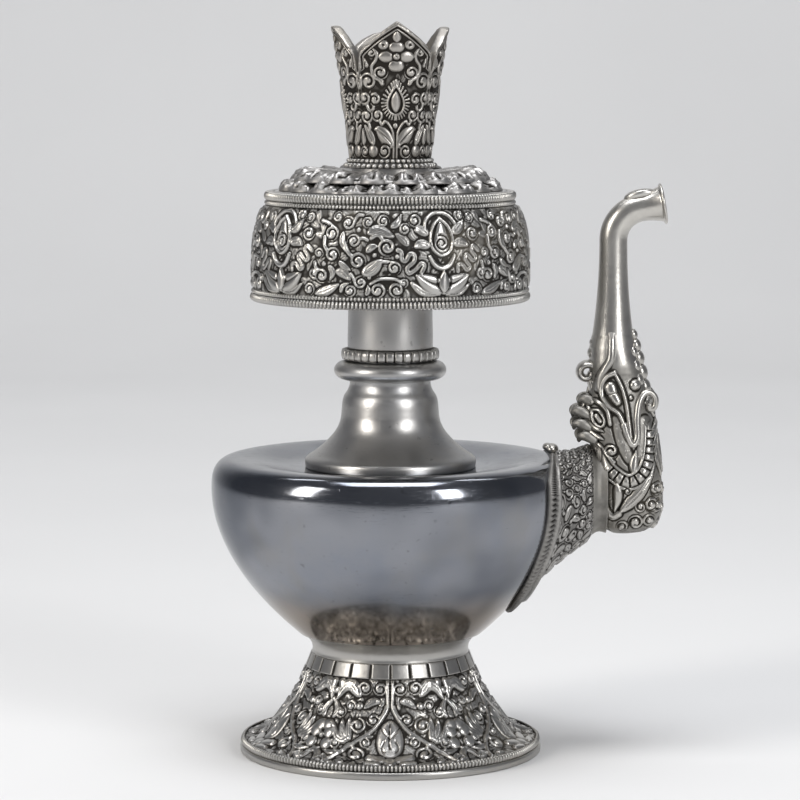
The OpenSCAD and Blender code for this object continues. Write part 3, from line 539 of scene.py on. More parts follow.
def foot_relief(rows, cols):
    """One fifth of the foot: a stem that parts into two vines, with scrolls, a lotus bud and edge flowers."""
    line = foot_line(np.linspace(0, 1, rows))
    length = float(np.linalg.norm(np.diff(line, axis=0), axis=1).sum())
    m = Relief(TAU * FOOT_MEAN_R / FOOT_REPEATS, length, cols, rows, line[:, 0] / FOOT_MEAN_R)
    m.origin = m.width / 2
    drawn_length = 38
    k = length / drawn_length

    def at(points):
        """Points drawn on a length of drawn_length, carried to the foot's own length."""
        return [(x, y * k) for x, y in points]

    def edge(y):
        """Half the sector's width at height y."""
        return m.width / 2 * float(np.interp(y * k, m.y, m.stretch))

    def half():
        for x, y, r, start, hand, stem in (
                (3.9, 34.6, 2.9, 180, -1, [(1.2, 30.4), (1.2, 32.6)]), (10.2, 34.8, 3.1, 0, 1, None),
                (6.6, 22.8, 3.0, 170, -1, [(1.6, 28.0), (2.6, 25.4)]), (13.4, 20.4, 3.6, 255, 1, None),
                (14.2, 8.6, 3.9, 80, -1, [(18.6, 11.4), (16.4, 13.0)]), (9.9, 14.0, 2.5, 60, 1, None),
                (23.4, 13.0, 2.8, 260, 1, [(22.4, 8.2), (22.6, 9.4)]), (21.2, 3.6, 2.6, 90, 1, None),
                (16.2, 28.0, 2.5, 120, -1, None), (20.8, 25.2, 2.6, 330, 1, None),
                (30.6, 4.0, 2.8, 120, -1, [(26.4, 5.0), (27.8, 7.0)])):
            m.scroll(x, y * k, r, 1.5, start, hand, 1.25, None, None if stem is None else at(stem))
        for pts, w in (([(12.2, 31.6), (15.6, 35.4), (19.4, 34.4), (22.6, 29.6)], 2.9),
                       ([(4.2, 30.0), (7.4, 29.6), (10.6, 27.0)], 1.9),
                       ([(16.6, 14.4), (17.2, 18.4), (16.4, 23.6)], 1.6),
                       ([(17.4, 14.0), (19.8, 17.6), (19.6, 22.6)], 1.8),
                       ([(18.2, 13.4), (22.4, 15.8), (23.8, 21.0)], 1.8),
                       ([(19.4, 9.6), (24.4, 8.8), (28.6, 9.8)], 1.6),
                       ([(24.4, 3.0), (26.0, 1.8), (28.0, 1.4)], 1.2),
                       ([(9.8, 18.4), (9.2, 16.6), (6.6, 16.2)], 0.9),
                       ([(edge(27) - 0.6, 22.6), (edge(27) - 2.6, 26.0), (edge(27) - 0.8, 31.0)], 1.5),
                       ([(edge(7) - 0.4, 10.6), (edge(7) - 2.6, 7.4), (edge(7) - 0.6, 3.0)], 1.7)):
            m.leaf(at(pts), w, 1.45)
        m.dome(12.4, 28.0 * k, 1.7, 1.4)
        for x in (edge(36.6) - 5.4, edge(36.6) - 1.8):
            m.stroke(at([(x, 34.8), (x, 35.6), (x, 36.4)]), 1.7, 1.4, 0.35)
        m.dome(edge(32.6), 33.2 * k, 1.8, 1.4)
        # half of the flower on the sector's edge
        mid = edge(15.6)
        for a in (90, 18, -54):
            x, y = mid - 4.0 * math.cos(math.radians(a)), 15.6 + 4.0 * math.sin(math.radians(a))
            m.dome(x, y * k, 2.7, 1.7, 0.3)
        m.dome(mid, 15.6 * k, 1.4, 1.6)
        m.ridge(at([(0.95, 38), (0.95, 31), (1.3, 26.6), (6.2, 19.6), (12.5, 15.0), (18.6, 11.0),
                    (24.6, 6.0), (28.4, 2.0)]), 60, 0.95, 1.7)
        # half of the flower that the bud stands on
        m.ridge(at([(4.2, 5.4), (8.2, 6.8)]), 10, np.linspace(2.8, 1.9, 10), 1.8, 0.35)
        m.ridge(at([(5.6, 2.4), (9.6, 3.0)]), 10, np.linspace(2.1, 1.4, 10), 1.6, 0.35)

    m.both(half)
    # closed bud: an egg with a pointed top, cut by a slit, a forked notch and two curved lines
    t = np.linspace(0, 1, 30)
    egg = 5.6 * np.sin(math.pi * (0.22 + 0.77 * t)) ** 0.75
    m.stroke(np.stack([0 * t, (9.6 + 12.4 * t) * k], 1), np.maximum(egg, 0.2), 2.0, 0.38)
    m.groove(at([(0, 11.0), (-0.5, 14.0), (0, 21.8)]), 24, 0.42, 1.3)
    m.groove(at([(-3.6, 19.4), (-1.8, 16.8), (0, 15.2), (1.8, 16.8), (3.6, 19.4)]), 24, 0.36, 0.9)
    m.groove(at([(-2.4, 9.2), (-3.4, 11.4), (-2.2, 14.2)]), 20, 0.36, 0.8)
    m.groove(at([(2.4, 9.2), (3.4, 11.4), (2.2, 14.2)]), 20, 0.36, 0.8)
    m.dome(0, 4.2 * k, 3.0, 1.9, 0.35)
    m.dome(0, 1.6 * k, 1.8, 1.4, 0.4)
    m.groove(at([(0, 26.0), (0, 38.0)]), 20, 0.45, 1.7)
    m.ground(0.40, 0.10, 150, 1.05)
    return m.h


def build_foot():
    """The chased shell: relief raised along the outline's normals, closed by a plain wall inside."""
    rows, cols = 96, 900
    h = np.tile(foot_relief(rows, cols // FOOT_REPEATS), (1, FOOT_REPEATS))
    line = foot_line(np.linspace(0, 1, rows))
    inner = even(line - 1.6 * normals_of(line), 12)[::-1]
    # the map's middle faces the camera
    turn = FRONT + (np.arange(cols) + 0.5) * TAU / cols - math.pi / FOOT_REPEATS
    level = np.clip(1.14 * levels_of(h, 4, 0.55) + 0.02, 0, 1)
    wall, level = chased_wall(line, h, 0.9, turn, level, inner, 0.4)
    piece("foot_shell_chased", [wall], "vessel", foot_silver, ["foot_shell"], level)


def build_foot_rim():
    """A turned ring, and the beaded wire on top of it."""
    rim = ((60.2, 0.3), (60.5, 0.0), (62.0, 0.0), (62.5, 0.5), (62.55, 1.8), (62.4, 2.6), (61.9, 3.1),
           (60.2, 3.1))
    piece("foot_rim_turned", [turned(loop(rim, 40), 360, 0.03)], "vessel", bead_silver,
          ["foot_rim"])
    ring, level = bead_ring(60.7, 4.6, 1.6, 1.55, 236)
    piece("foot_beads", [ring], "vessel", bead_silver, ["foot_bead_wire"], level)


def build_foot_band():
    """A cone whose radius drops sharply at each notch, and the hollow collar above it."""
    cols, rows = NOTCHES * 26, 20
    turn = np.arange(cols) * TAU / cols
    t = np.linspace(0, 1, rows)
    drift = dice.normal(0, 0.05, NOTCHES)
    beat = turn * NOTCHES / TAU
    jitter = np.interp(beat % NOTCHES, np.arange(NOTCHES + 1), np.r_[drift, drift[:1]])
    notch = np.exp(-(((beat + jitter) % 1 - 0.5) / 0.05) ** 2)
    fade = np.clip(np.minimum(t, 1 - t) / 0.10, 0, 1)[:, None]
    r = np.interp(t, [0, 0.06, 0.94, 1], [34.6, 35.1, 33.0, 32.6])[:, None] - 0.6 * notch * fade
    r = np.vstack([r, np.full((1, cols), 31.2), np.full((1, cols), 33.0)])
    z = np.repeat(np.r_[BAND_Z + (COLLAR_Z - BAND_Z) * t, COLLAR_Z, BAND_Z][:, None], cols, 1)
    dark = np.clip(1.8 * notch, 0, 1) * fade
    level = np.clip(0.66 - 0.85 * np.vstack([dark, np.zeros((2, cols))]), 0, 1)
    piece("foot_band_notched", [spun(r, z, turn)], "vessel", bead_silver, ["foot_band"],
          level)
    collar = shell([(32.5, 41.5), (32.3, 43.2), (32.8, 45.4), (34.2, 47.6), (36.2, 49.2), (38.0, 50.0)], 1.5,
                   40)
    piece("foot_collar_raised", [turned(collar, 256, 0.04)], "vessel", bead_silver,
          ["foot_collar"])


# Belly and neck

def bowl_radius(z):
    """The bowl is a parabola lying on its side: widest at WIDE_Z and narrowest at its bottom."""
    return BELLY_R - BOWL_DRAW * (1 - (np.asarray(z) - BELLY_Z) / BOWL_H) ** 2


def shoulder_line(count):
    """A quarter superellipse up to the crest, then a soft dip to the flat round the neck."""
    a = np.linspace(0, math.pi / 2, 40)
    edge = np.stack([CREST_R + SHOULDER_W * np.cos(a) ** SHOULDER_POWER,
                     WIDE_Z + SHOULDER_H * np.sin(a) ** SHOULDER_POWER], 1)
    t = np.linspace(0, 1, 40)[1:]
    dip = np.stack([CREST_R - 28.5 * t, CREST_Z - 3.8 * (1 - np.cos(math.pi * t)) / 2], 1)
    return even(np.vstack([edge, dip, [(18.5, NECK_Z)]]), count)


def build_belly():
    """Bowl and shoulder as one raised wall with a floor."""
    z = np.linspace(BELLY_Z, WIDE_Z, 90)
    bowl = np.stack([bowl_radius(z), z], 1)
    line = np.vstack([bowl, shoulder_line(120)[1:]])
    inner = even(line - 1.5 * normals_of(line), 60)[::-1]
    inner[:, 1] = np.clip(inner[:, 1], BELLY_Z + 1.5, CREST_Z - 1.2)
    floor = np.array([(36.5, BELLY_Z + 1.5), (0.02, BELLY_Z + 1.5), (0.02, BELLY_Z), (37.0, BELLY_Z)])
    piece("belly_raised", [turned(np.vstack([line, inner, floor]), 320, 0.09)], "vessel", belly_silver,
          ["belly_bowl", "belly_shoulder"])


def build_neck():
    """The bell and its tube as one outline, and a moulding with a half round section."""
    neck = [(35.0, 118.5), (35.3, 119.4), (35.2, 121.6), (34.2, 122.9), (31.4, 124.8), (27.7, 127.8),
            (24.7, 130.8), (22.6, 133.4), (21.1, 136.2), (20.3, 139.0), (20.0, 142.0), (19.7, 145.4),
            (19.0, 148.0), (17.6, 150.2), (16.8, 152.4), (16.7, 154.4), (16.7, 158.0), (16.7, SEAT_Z)]
    piece("neck_raised", [turned(shell(neck, 1.4, 120), 288, 0.05)], "vessel", neck_silver,
          ["neck_bell"])
    a = np.linspace(0, TAU, 60)[:-1]
    roll = np.stack([16.75 + 6.4 * np.clip(np.cos(a), 0, 1) ** 0.8, 158.6 + 4.0 * np.sin(a)], 1)
    piece("neck_roll", [turned(roll, 256, 0.04)], "vessel", neck_silver,
          ["neck_moulding"])


# Canopy

def drum_line(t):
    """Wall of the drum from its lower wires (t 0) to its upper wires (t 1): upright, then leaning in."""
    t = np.asarray(t, float)
    return np.stack([56.1 - 4.9 * t ** 3.8, 192.4 + 34.2 * t], -1)


def drum_relief(rows, cols):
    """One fifth of the drum: a spiral shell emblem on a lotus with ribbons, then a panel of scrolls."""
    m = Relief(TAU * DRUM_MEAN_R / DRUM_REPEATS, 35.0, cols, rows)
    m.origin = EMBLEM_X
    hi = 1.5

    def ribbon(points):
        m.cut(m.ridge(points, 110, 0.95, hi), 0.34, 0.9)

    # emblem
    m.ridge([(-7.4, 27.4), (-6.6, 30.8), (-3.4, 33.4), (0.2, 34.0), (3.8, 32.6), (6.2, 29.6)], 50, 0.85, hi)
    body = smooth([(-0.6, 31.6), (-3.6, 28.6), (-5.0, 24.2), (-4.2, 19.6), (-0.6, 16.9), (3.0, 18.8),
                   (4.2, 23.4), (2.8, 28.2), (-0.6, 31.6)], 80)
    m.ridge([(-0.4, 30.4), (-0.5, 26.0), (-0.5, 19.6)], 30, np.linspace(1.2, 4.3, 30) * np.r_[
        np.ones(20), np.linspace(1, 0.72, 10)], 0.95 * hi, 0.35)
    m.stroke(body, 0.7, 1.2 * hi)
    m.cut(body * 0.86 + np.array([-0.4, 23.4]) * 0.14, 0.34, 0.6 * hi)
    t = np.linspace(0, 1, 60)
    reach, a = 3.3 - 2.6 * t, 1.9 - 9.5 * t
    coil = np.stack([-0.5 + reach * np.cos(a), 21.8 + reach * np.sin(a)], 1)
    m.cut(coil, 0.5, hi)
    m.dome(-0.5, 21.8, 0.8, 1.2 * hi)
    for pts in ([(4.6, 26.0), (7.4, 27.6), (10.0, 30.4)], [(5.0, 21.4), (8.2, 22.0), (11.4, 20.6)],
                [(-6.2, 25.6), (-9.2, 27.2), (-11.6, 27.0)], [(-5.8, 20.8), (-9.2, 21.6), (-11.8, 20.2)]):
        m.leaf(pts, 2.2, hi)
    m.ridge([(-5.6, 16.6), (-3.4, 13.2), (-0.4, 11.8), (2.6, 13.0), (4.8, 16.8)], 40,
            0.7 + 0.5 * np.sin(np.linspace(0, math.pi, 40)), 1.25 * hi)
    ribbon([(-18.4, 19.2), (-17.0, 18.4), (-16.8, 15.6), (-15.2, 15.0), (-13.6, 17.6), (-11.8, 17.2),
            (-12.0, 14.6), (-14.6, 12.2), (-14.0, 10.0), (-11.2, 11.6), (-9.2, 13.8), (-7.8, 13.0),
            (-9.0, 10.2)])
    ribbon([(6.4, 10.4), (6.4, 12.8), (8.4, 13.0), (10.4, 10.8), (11.8, 12.2), (9.6, 15.4), (10.6, 17.0),
            (13.2, 14.6), (14.8, 15.8), (12.8, 18.8), (14.0, 20.4), (16.2, 18.6)])
    for side in (-1, 1):
        m.leaf([(0.2, 2.8), (side * 5.4, 4.2), (side * 11.2, 9.2)], 3.0, 1.1 * hi, False)
        m.leaf([(side * 1.4, 6.8), (side * 5.8, 7.4), (side * 10.4, 9.4)], 2.0, hi, False)
        m.groove([(side * 1.6, 4.6), (side * 5.6, 6.2), (side * 9.8, 8.8)], 24, 0.34, 0.7)
    outline = smooth([(-2.2, 9.4), (-2.6, 5.4), (0.2, 1.8), (3.0, 5.4), (2.6, 9.4)], 40)
    m.leaf([(0.2, 1.6), (0.2, 5.6), (0.2, 10.8)], 2.5, 1.4 * hi, False)
    m.cut(outline, 0.36, 1.0)
    m.leaf([(-13.4, 6.4), (-8.0, 1.9), (-0.6, 0.9)], 1.7, 0.9 * hi)
    m.leaf([(0.8, 1.0), (6.6, 1.6), (12.0, 5.4)], 1.7, 0.9 * hi)
    for x, y, r, start, hand in ((-11.2, 31.0, 2.6, 0, 1), (8.8, 32.6, 2.3, 180, -1),
                                 (15.2, 3.0, 2.4, 90, 1), (17.6, 9.6, 2.6, 270, -1),
                                 (-15.4, 27.6, 2.2, 200, 1), (14.0, 25.4, 2.7, 180, -1),
                                 (13.6, 31.8, 2.0, 0, 1), (-16.2, 6.0, 1.9, 30, 1)):
        m.scroll(x, y, 1.1 * r, hi, start, hand)
    # scroll panel, centred half way to the next emblem
    m.origin = EMBLEM_X + m.width / 2
    for x, y, r, start, hand, stem in (
            (-10.4, 25.6, 2.9, 80, 1, [(-15.4, 30.6), (-12.6, 29.8)]),
            (-9.6, 17.2, 2.9, 150, 1, [(-13.4, 24.2), (-13.2, 20.8)]),
            (-14.2, 8.6, 2.9, 120, -1, [(-17.4, 14.0), (-16.8, 11.6)]),
            (-2.2, 2.8, 2.4, 40, 1, None), (2.2, 6.2, 2.6, 200, 1, [(-1.8, 9.6), (-0.8, 8.0)]),
            (1.0, 14.8, 3.2, 140, 1, [(-4.6, 22.0), (-3.0, 18.2)]),
            (-0.8, 22.8, 2.6, 20, -1, [(4.8, 23.2), (3.0, 24.0)]),
            (-3.6, 29.8, 2.6, 330, -1, [(2.4, 33.0), (0.0, 32.6)]),
            (4.8, 30.2, 2.3, 150, -1, None), (11.0, 30.6, 2.4, 180, 1, None),
            (12.6, 20.4, 3.4, 120, -1, [(6.2, 24.0), (9.0, 25.2)]),
            (15.4, 12.0, 2.6, 100, 1, [(10.2, 14.6), (12.2, 14.6)]),
            (8.8, 3.0, 2.9, 60, 1, None), (16.4, 3.2, 2.9, 120, -1, None),
            (-15.6, 17.6, 2.0, 90, 1, None), (-8.4, 32.2, 2.0, 200, 1, None)):
        m.scroll(x, y, 1.1 * r, hi, start, hand, 1.25, 0.26 * r, stem)
    m.ridge([(6.0, 5.6), (9.2, 7.4), (12.6, 7.8), (16.2, 7.4), (19.0, 5.4)], 40, 0.7, hi)
    for pts, w in (([(-17.0, 1.2), (-12.4, 2.4), (-6.4, 5.4)], 2.3),
                   ([(-7.6, 10.6), (-4.6, 9.8), (-2.0, 7.2)], 2.3),
                   ([(3.2, 10.0), (6.4, 11.4), (10.6, 15.4)], 2.9),
                   ([(4.8, 26.0), (9.0, 27.0), (15.6, 24.4)], 2.5),
                   ([(-6.6, 14.4), (-4.6, 12.6), (-2.0, 11.2)], 1.4),
                   ([(-5.4, 26.2), (-5.6, 22.4), (-4.0, 18.4)], 1.4),
                   ([(4.6, 18.6), (6.4, 20.4), (8.8, 20.8)], 1.6),
                   ([(14.2, 28.4), (16.8, 30.0), (18.4, 33.0)], 1.6),
                   ([(-6.0, 2.0), (-5.2, 4.6), (-2.4, 6.0)], 1.0),
                   ([(4.4, 1.2), (5.2, 3.0), (5.0, 5.0)], 1.1),
                   ([(-11.0, 12.6), (-9.4, 10.0), (-10.4, 7.0)], 1.5)):
        m.leaf(pts, w, hi)
    for x, y, r in ((1.0, 27.2, 1.0), (-13.4, 13.4, 1.0), (7.6, 17.2, 0.9), (16.6, 16.6, 1.0),
                    (5.6, 8.2, 0.9)):
        m.dome(x, y, r, 0.9 * hi)
    m.ground(0.40, 0.10, 170, 0.95)
    return m.h


def build_drum():
    """The chased wall: relief raised along the leaning outline's normals, with a plain wall inside."""
    rows, cols = 92, 1000
    h = np.tile(drum_relief(rows, cols // DRUM_REPEATS), (1, DRUM_REPEATS))
    line = drum_line(np.linspace(0, 1, rows))
    low = np.array([(55.9, DRUM_Z + 0.2), (55.9, 190.0)])
    inner = np.array([(49.7, DRUM_TOP_Z), (51.2, 221.0), (53.6, 212.0), (54.5, 200.0), (54.6, DRUM_Z + 0.2)])
    # the emblem lies a little round from the front, towards the spout
    turn = FRONT + EMBLEM_TURN + (np.arange(cols) + 0.5) * TAU / cols - EMBLEM_X / DRUM_MEAN_R
    wall, level = chased_wall(line, h, 0.85, turn, levels_of(h, 4, 0.55), inner, 0.3, low)
    piece("drum_wall_chased", [wall], "canopy", drum_silver, ["drum_wall"], level)


def build_drum_wires():
    """Four beaded wires, and the plain edges that they are soldered to."""
    rows_of_beads = (
        ("drum_lower_beads", 56.2, 189.2, 1.6, 1.4, 214, ["drum_lower_bead_wire"]),
        ("drum_lower_fine_beads", 56.0, 191.7, 0.95, 1.1, 230, ["drum_lower_fine_wire"]),
        ("drum_upper_fine_beads", 50.4, 227.6, 1.0, 1.1, 206, ["drum_upper_fine_wire"]),
        ("drum_upper_beads", 50.2, 230.4, 1.85, 1.5, 196, ["drum_upper_bead_wire"]))
    for name, radius, z, half_h, out, count, nodes in rows_of_beads:
        ring, level = bead_ring(radius, z, half_h, out, count)
        piece(name, [ring], "canopy", bead_silver, nodes, level)
    lip = ((55.5, 187.5), (56.3, 187.5), (56.6, 187.7), (56.5, 188.0), (56.0, 188.3), (55.5, 188.3))
    top = ((47.9, 226.6), (49.8, 226.6), (50.0, 226.9), (49.9, 229.0), (50.0, 231.4), (50.3, 232.0),
           (50.1, 232.3), (47.9, 232.3))
    piece("drum_edges", [turned(loop(p, 32), 320, 0.03) for p in (lip, top)], "canopy", bead_silver)


def lotus_row(tip_r, z, height, turn_by, root_r):
    """A ring of plump petals: each swells along its length and its width, with ribs and a curled tip."""
    per, rows = 28, 34
    cols = PETALS * per
    own = np.arange(cols) // per
    grow = dice.normal(0, 1, (3, PETALS))[:, own]
    turn = np.arange(cols) * TAU / cols + turn_by
    f = (np.arange(cols) % per + 0.5) / per * 2 - 1
    arch = np.clip(1 - np.abs(f) ** 2.2, 0, 1)
    s = 1 - (1 - np.linspace(0, 1, rows)[:, None]) ** 1.8
    tip = tip_r - 5.6 * (1 - arch ** 0.5) + 0.45 * grow[0]
    swell = np.where(s < 0.66, 0.70 + 0.30 * np.sin(math.pi / 2 * s / 0.66),
                     np.sqrt(np.clip(1 - ((s - 0.66) / 0.34) ** 2, 0, 1)))
    gate = np.clip((s - 0.40) / 0.12, 0, 1) * np.clip((0.985 - s) / 0.05, 0, 1)
    lean = f - 0.10 * grow[2]
    rib = np.exp(-(lean / 0.07) ** 2) + 0.7 * np.exp(-((np.abs(lean) - 0.46) / 0.08) ** 2)
    curl = np.exp(-(lean / 0.28) ** 2) * np.exp(-((s - 0.80) / 0.09) ** 2)
    rough = soften(dice.random((rows, cols)), 1) - 0.5
    flute = np.sin(7.0 * lean + 2.0 * grow[2] + 5.0 * s) * gate
    zz = (z + 0.2 + (height + 0.32 * grow[1]) * swell * (0.06 + 0.94 * arch ** 0.6)
          - 0.55 * rib * gate + 0.8 * curl + (1.3 * rough + 0.38 * flute) * gate)
    r = root_r + (tip - root_r) * s + (1.6 * rough + 0.35 * flute - 0.45 * rib) * gate
    low_r = np.vstack([tip - 0.8, np.full(cols, root_r)])
    low_z = np.full((2, cols), z + 0.1)
    level = np.clip(0.08 + 0.50 * arch ** 0.7 + 0.40 * curl + 0.10 * swell - 0.60 * rib * gate
                    + (1.6 * rough + 0.34 * flute) * gate, 0, 1)
    r, zz = np.vstack([r, low_r]), np.vstack([zz, low_z])
    level = np.vstack([level, np.full((2, cols), 0.1)])
    return spun(r, zz, turn), level


def build_lotus():
    """Two tiers, each of a row of petals and a lower row that shows between them."""
    for name, tip, z, height, shift, root, node in (
            ("lotus_lower_petals", 45.8, 232.3, 4.2, 0.0, 28.0, "lotus_lower_tier"),
            ("lotus_upper_petals", 41.2, 236.2, 4.7, math.pi / PETALS, 18.0, "lotus_upper_tier")):
        sheets, level = joined([lotus_row(tip - 1.3 * drop, z, height - drop, shift + step, root)
                                for step, drop in ((0.0, 0.0), (math.pi / PETALS, 1.7))])
        piece(name, sheets, "canopy", lotus_silver, [node], level)


def build_stem():
    """The drum's two plates and the drawn stem."""
    for name, inside, outside, low, high, node in (
            ("drum_top_disc", 16.2, 47.6, 230.8, 232.3, "drum_top_plate"),
            ("drum_base_disc", 17.6, 54.5, 187.5, 189.0, "drum_base_plate")):
        p = ((inside, low), (outside, low), (outside, high), (inside, high))
        piece(name, [turned(loop(p, 80), 240, 0.03)], "canopy", neck_silver, [node])
    stem = shell(((17.5, STEM_Z), (17.55, 172.0), (17.4, 180.0), (17.45, 190.0), (17.5, 210.0),
                  (17.5, 230.8)), 1.4, 80)
    piece("stem_drawn", [turned(stem, 256, 0.05)], "canopy", neck_silver, ["stem_tube"])


def build_stem_beads():
    """The ring that rests on the neck: a torus of a squared section, parted into squared beads."""
    count, per, rows = 34, 14, 16
    cols = count * per
    turn = np.arange(cols) * TAU / cols
    f = np.abs((np.arange(cols) % per) / per * 2 - 1)
    block = np.clip(1 - f ** 6, 0.0, 1) ** 0.5
    ring = np.arange(rows) * TAU / rows
    c, s = np.cos(ring)[:, None], np.sin(ring)[:, None]
    box = (np.abs(c) ** 5 + np.abs(s) ** 5) ** -0.2
    ring_r, ring_z = 17.6, (SEAT_Z + STEM_Z) / 2
    r = np.where(c > 0, ring_r + 2.6 * c * box * (0.25 + 0.75 * block), ring_r + 2.2 * c)
    z = ring_z + 2.2 * s * box * (0.75 + 0.25 * block)
    level = np.clip(0.05 + 0.8 * block * (0.4 + 0.6 * np.clip(c, 0, 1)), 0, 1)
    piece("stem_beads", [spun(r, z * np.ones(cols), turn)], "canopy", bead_silver,
          ["stem_bead_ring"], level)


# Crown

def crown_radius(z):
    """The cup widens from its foot, a little faster near its top."""
    t = (np.asarray(z) - CROWN_Z) / CROWN_H
    return 15.9 + 7.6 * (0.75 * t + 0.25 * t * t)


def lobe_top(a):
    """Height of the lobes' edge at angle a from the front lobe: upright sides, then slopes to a tip.
    The side lobes are lower and blunter than the front one, and the rear one lower still."""
    turn = np.degrees(a) + 45
    part = np.abs(turn % 90 - 45)
    steps = [0, 1.5, 12, 24, 36.5, 40.5, 42.6, 44.0, 45]
    heights = ((300.5, 300.2, 297.4, 294.0, 290.2), (298.4, 298.4, 297.6, 294.8, 290.4),
               (296.4, 296.4, 295.6, 293.4, 290.2), (298.8, 298.8, 297.9, 295.0, 290.4))
    slit = (288.2, 284.5, 280.5, 279.6)
    tops = np.stack([np.interp(part, steps, tip + slit) for tip in heights])
    return np.take_along_axis(tops, (np.floor(turn / 90).astype(int) % 4)[None], 0)[0]


def crown_relief(rows, cols):
    """One lobe of the crown: a flower at the top, a rayed drop in the middle and scrolls down both sides."""
    m = Relief(TAU * CROWN_MEAN_R / CROWN_LOBES, CROWN_H, cols, rows)
    m.origin = m.width / 2
    edge = m.width / 2
    hi = 1.15

    def half():
        m.ridge([(0.75, 0.5), (0.75, 7.5), (1.3, 11.4), (3.4, 14.6), (5.0, 15.4)], 40, 0.65, hi)
        m.leaf([(1.2, 5.2), (4.6, 9.0), (7.6, 12.0), (9.8, 12.0)], 3.3, 1.25 * hi, False)
        m.groove([(2.0, 6.6), (4.8, 9.4), (8.0, 11.8)], 24, 0.34, 0.5)
        m.leaf([(10.4, 5.8), (12.0, 9.4), (14.6, 14.2)], 2.0, 1.1 * hi)
        m.scroll(5.2, 3.3, 3.1, hi, 170, -1)
        m.dome(11.0, 3.3, 2.7, 1.1 * hi)
        m.scroll(edge, 3.2, 2.4, hi, 90, 1, 1.1)
        m.leaf([(edge, 5.8), (edge - 0.3, 9.0), (edge, 12.4)], 1.2, hi, False)
        m.scroll(8.0, 17.8, 2.9, hi, 250, -1, 1.2, 0.75, [(5.0, 15.2), (6.2, 14.0)])
        m.scroll(13.4, 17.4, 3.3, hi, 250, 1, 1.25, 0.8, [(12.4, 11.6), (12.0, 12.8)])
        m.scroll(9.0, 24.2, 2.9, hi, 90, 1, 1.2, 0.75, [(10.4, 20.0), (9.8, 20.8)])
        m.scroll(13.8, 24.8, 3.2, hi, 250, -1, 1.25, 0.8, [(11.4, 19.6), (12.2, 20.4)])
        m.scroll(11.6, 31.4, 3.8, hi, 130, 1, 1.3, 0.9, [(5.6, 30.4), (7.8, 33.6)])
        m.leaf([(edge - 0.2, 28.4), (edge - 0.6, 31.6), (edge - 0.2, 35.8)], 1.1, hi)
        m.ridge([(9.4, 44.4), (7.4, 42.6), (7.9, 40.0), (9.7, 37.2), (8.9, 33.4), (5.6, 31.4)], 50, 0.8, hi)
        m.scroll(6.2, 35.0, 3.0, hi, 10, 1, 1.25)
        m.scroll(9.6, 43.0, 2.0, hi, 200, 1, 1.1)
        m.dome(4.9, 46.0, 2.1, hi)
        m.cut([(4.9, 46.0)], 0.8, 0.8)
        m.leaf([(11.4, 37.2), (12.6, 39.0), (13.2, 41.6)], 1.2, hi)
        # side petal of the flower, a lozenge
        m.leaf([(1.9, 41.3), (4.0, 41.3), (6.6, 41.3)], 2.5, 1.1 * hi, False)
        # rays round the drop
        for a in np.linspace(-86, 86, 15):
            up = max(0.0, math.sin(math.radians(a)))
            x = (1 - 0.45 * up ** 2) * math.cos(math.radians(a))
            y = math.sin(math.radians(a)) * (1 + 0.32 * up)
            m.ridge([(4.1 * x, 22.8 + 4.7 * y), (6.0 * x, 22.8 + 6.9 * y)], 8, 0.45, hi)

    m.both(half)
    m.ridge([(-0.7, 45.0), (0.7, 45.0)], 8, 2.2, 1.15 * hi, 0.35)
    m.ridge([(-0.7, 37.6), (0.7, 37.6)], 8, 2.4, 1.15 * hi, 0.35)
    m.cut([(0, 41.3)], 2.1, 0.9)
    m.dome(0, 41.3, 1.5, 1.35 * hi)
    m.cut([(0, 41.3)], 0.55, 0.9)
    m.leaf([(0, 47.4), (0, 49.0), (0, 51.6)], 1.6, hi, False)
    drop = smooth([(0, 29.8), (-1.8, 27.0), (-3.4, 23.4), (-3.0, 19.8), (0, 18.0), (3.0, 19.8), (3.4, 23.4),
                   (1.8, 27.0), (0, 29.8)], 70)
    m.stroke(drop, 0.6, 1.15 * hi)
    t = np.linspace(0, 1, 20)
    m.stroke(np.stack([np.zeros(20), 19.8 + 7.6 * t], 1),
             2.2 * np.sin(math.pi * (0.14 + 0.84 * t)) ** 0.9 + 0.05, 1.4 * hi, 0.5)
    m.dome(0, 13.6, 1.3, hi)
    m.groove([(0, 0.4), (0, 9.0)], 20, 0.35, 0.9)
    m.ground(0.14, 0.06, 40, 0.4)
    return m.h


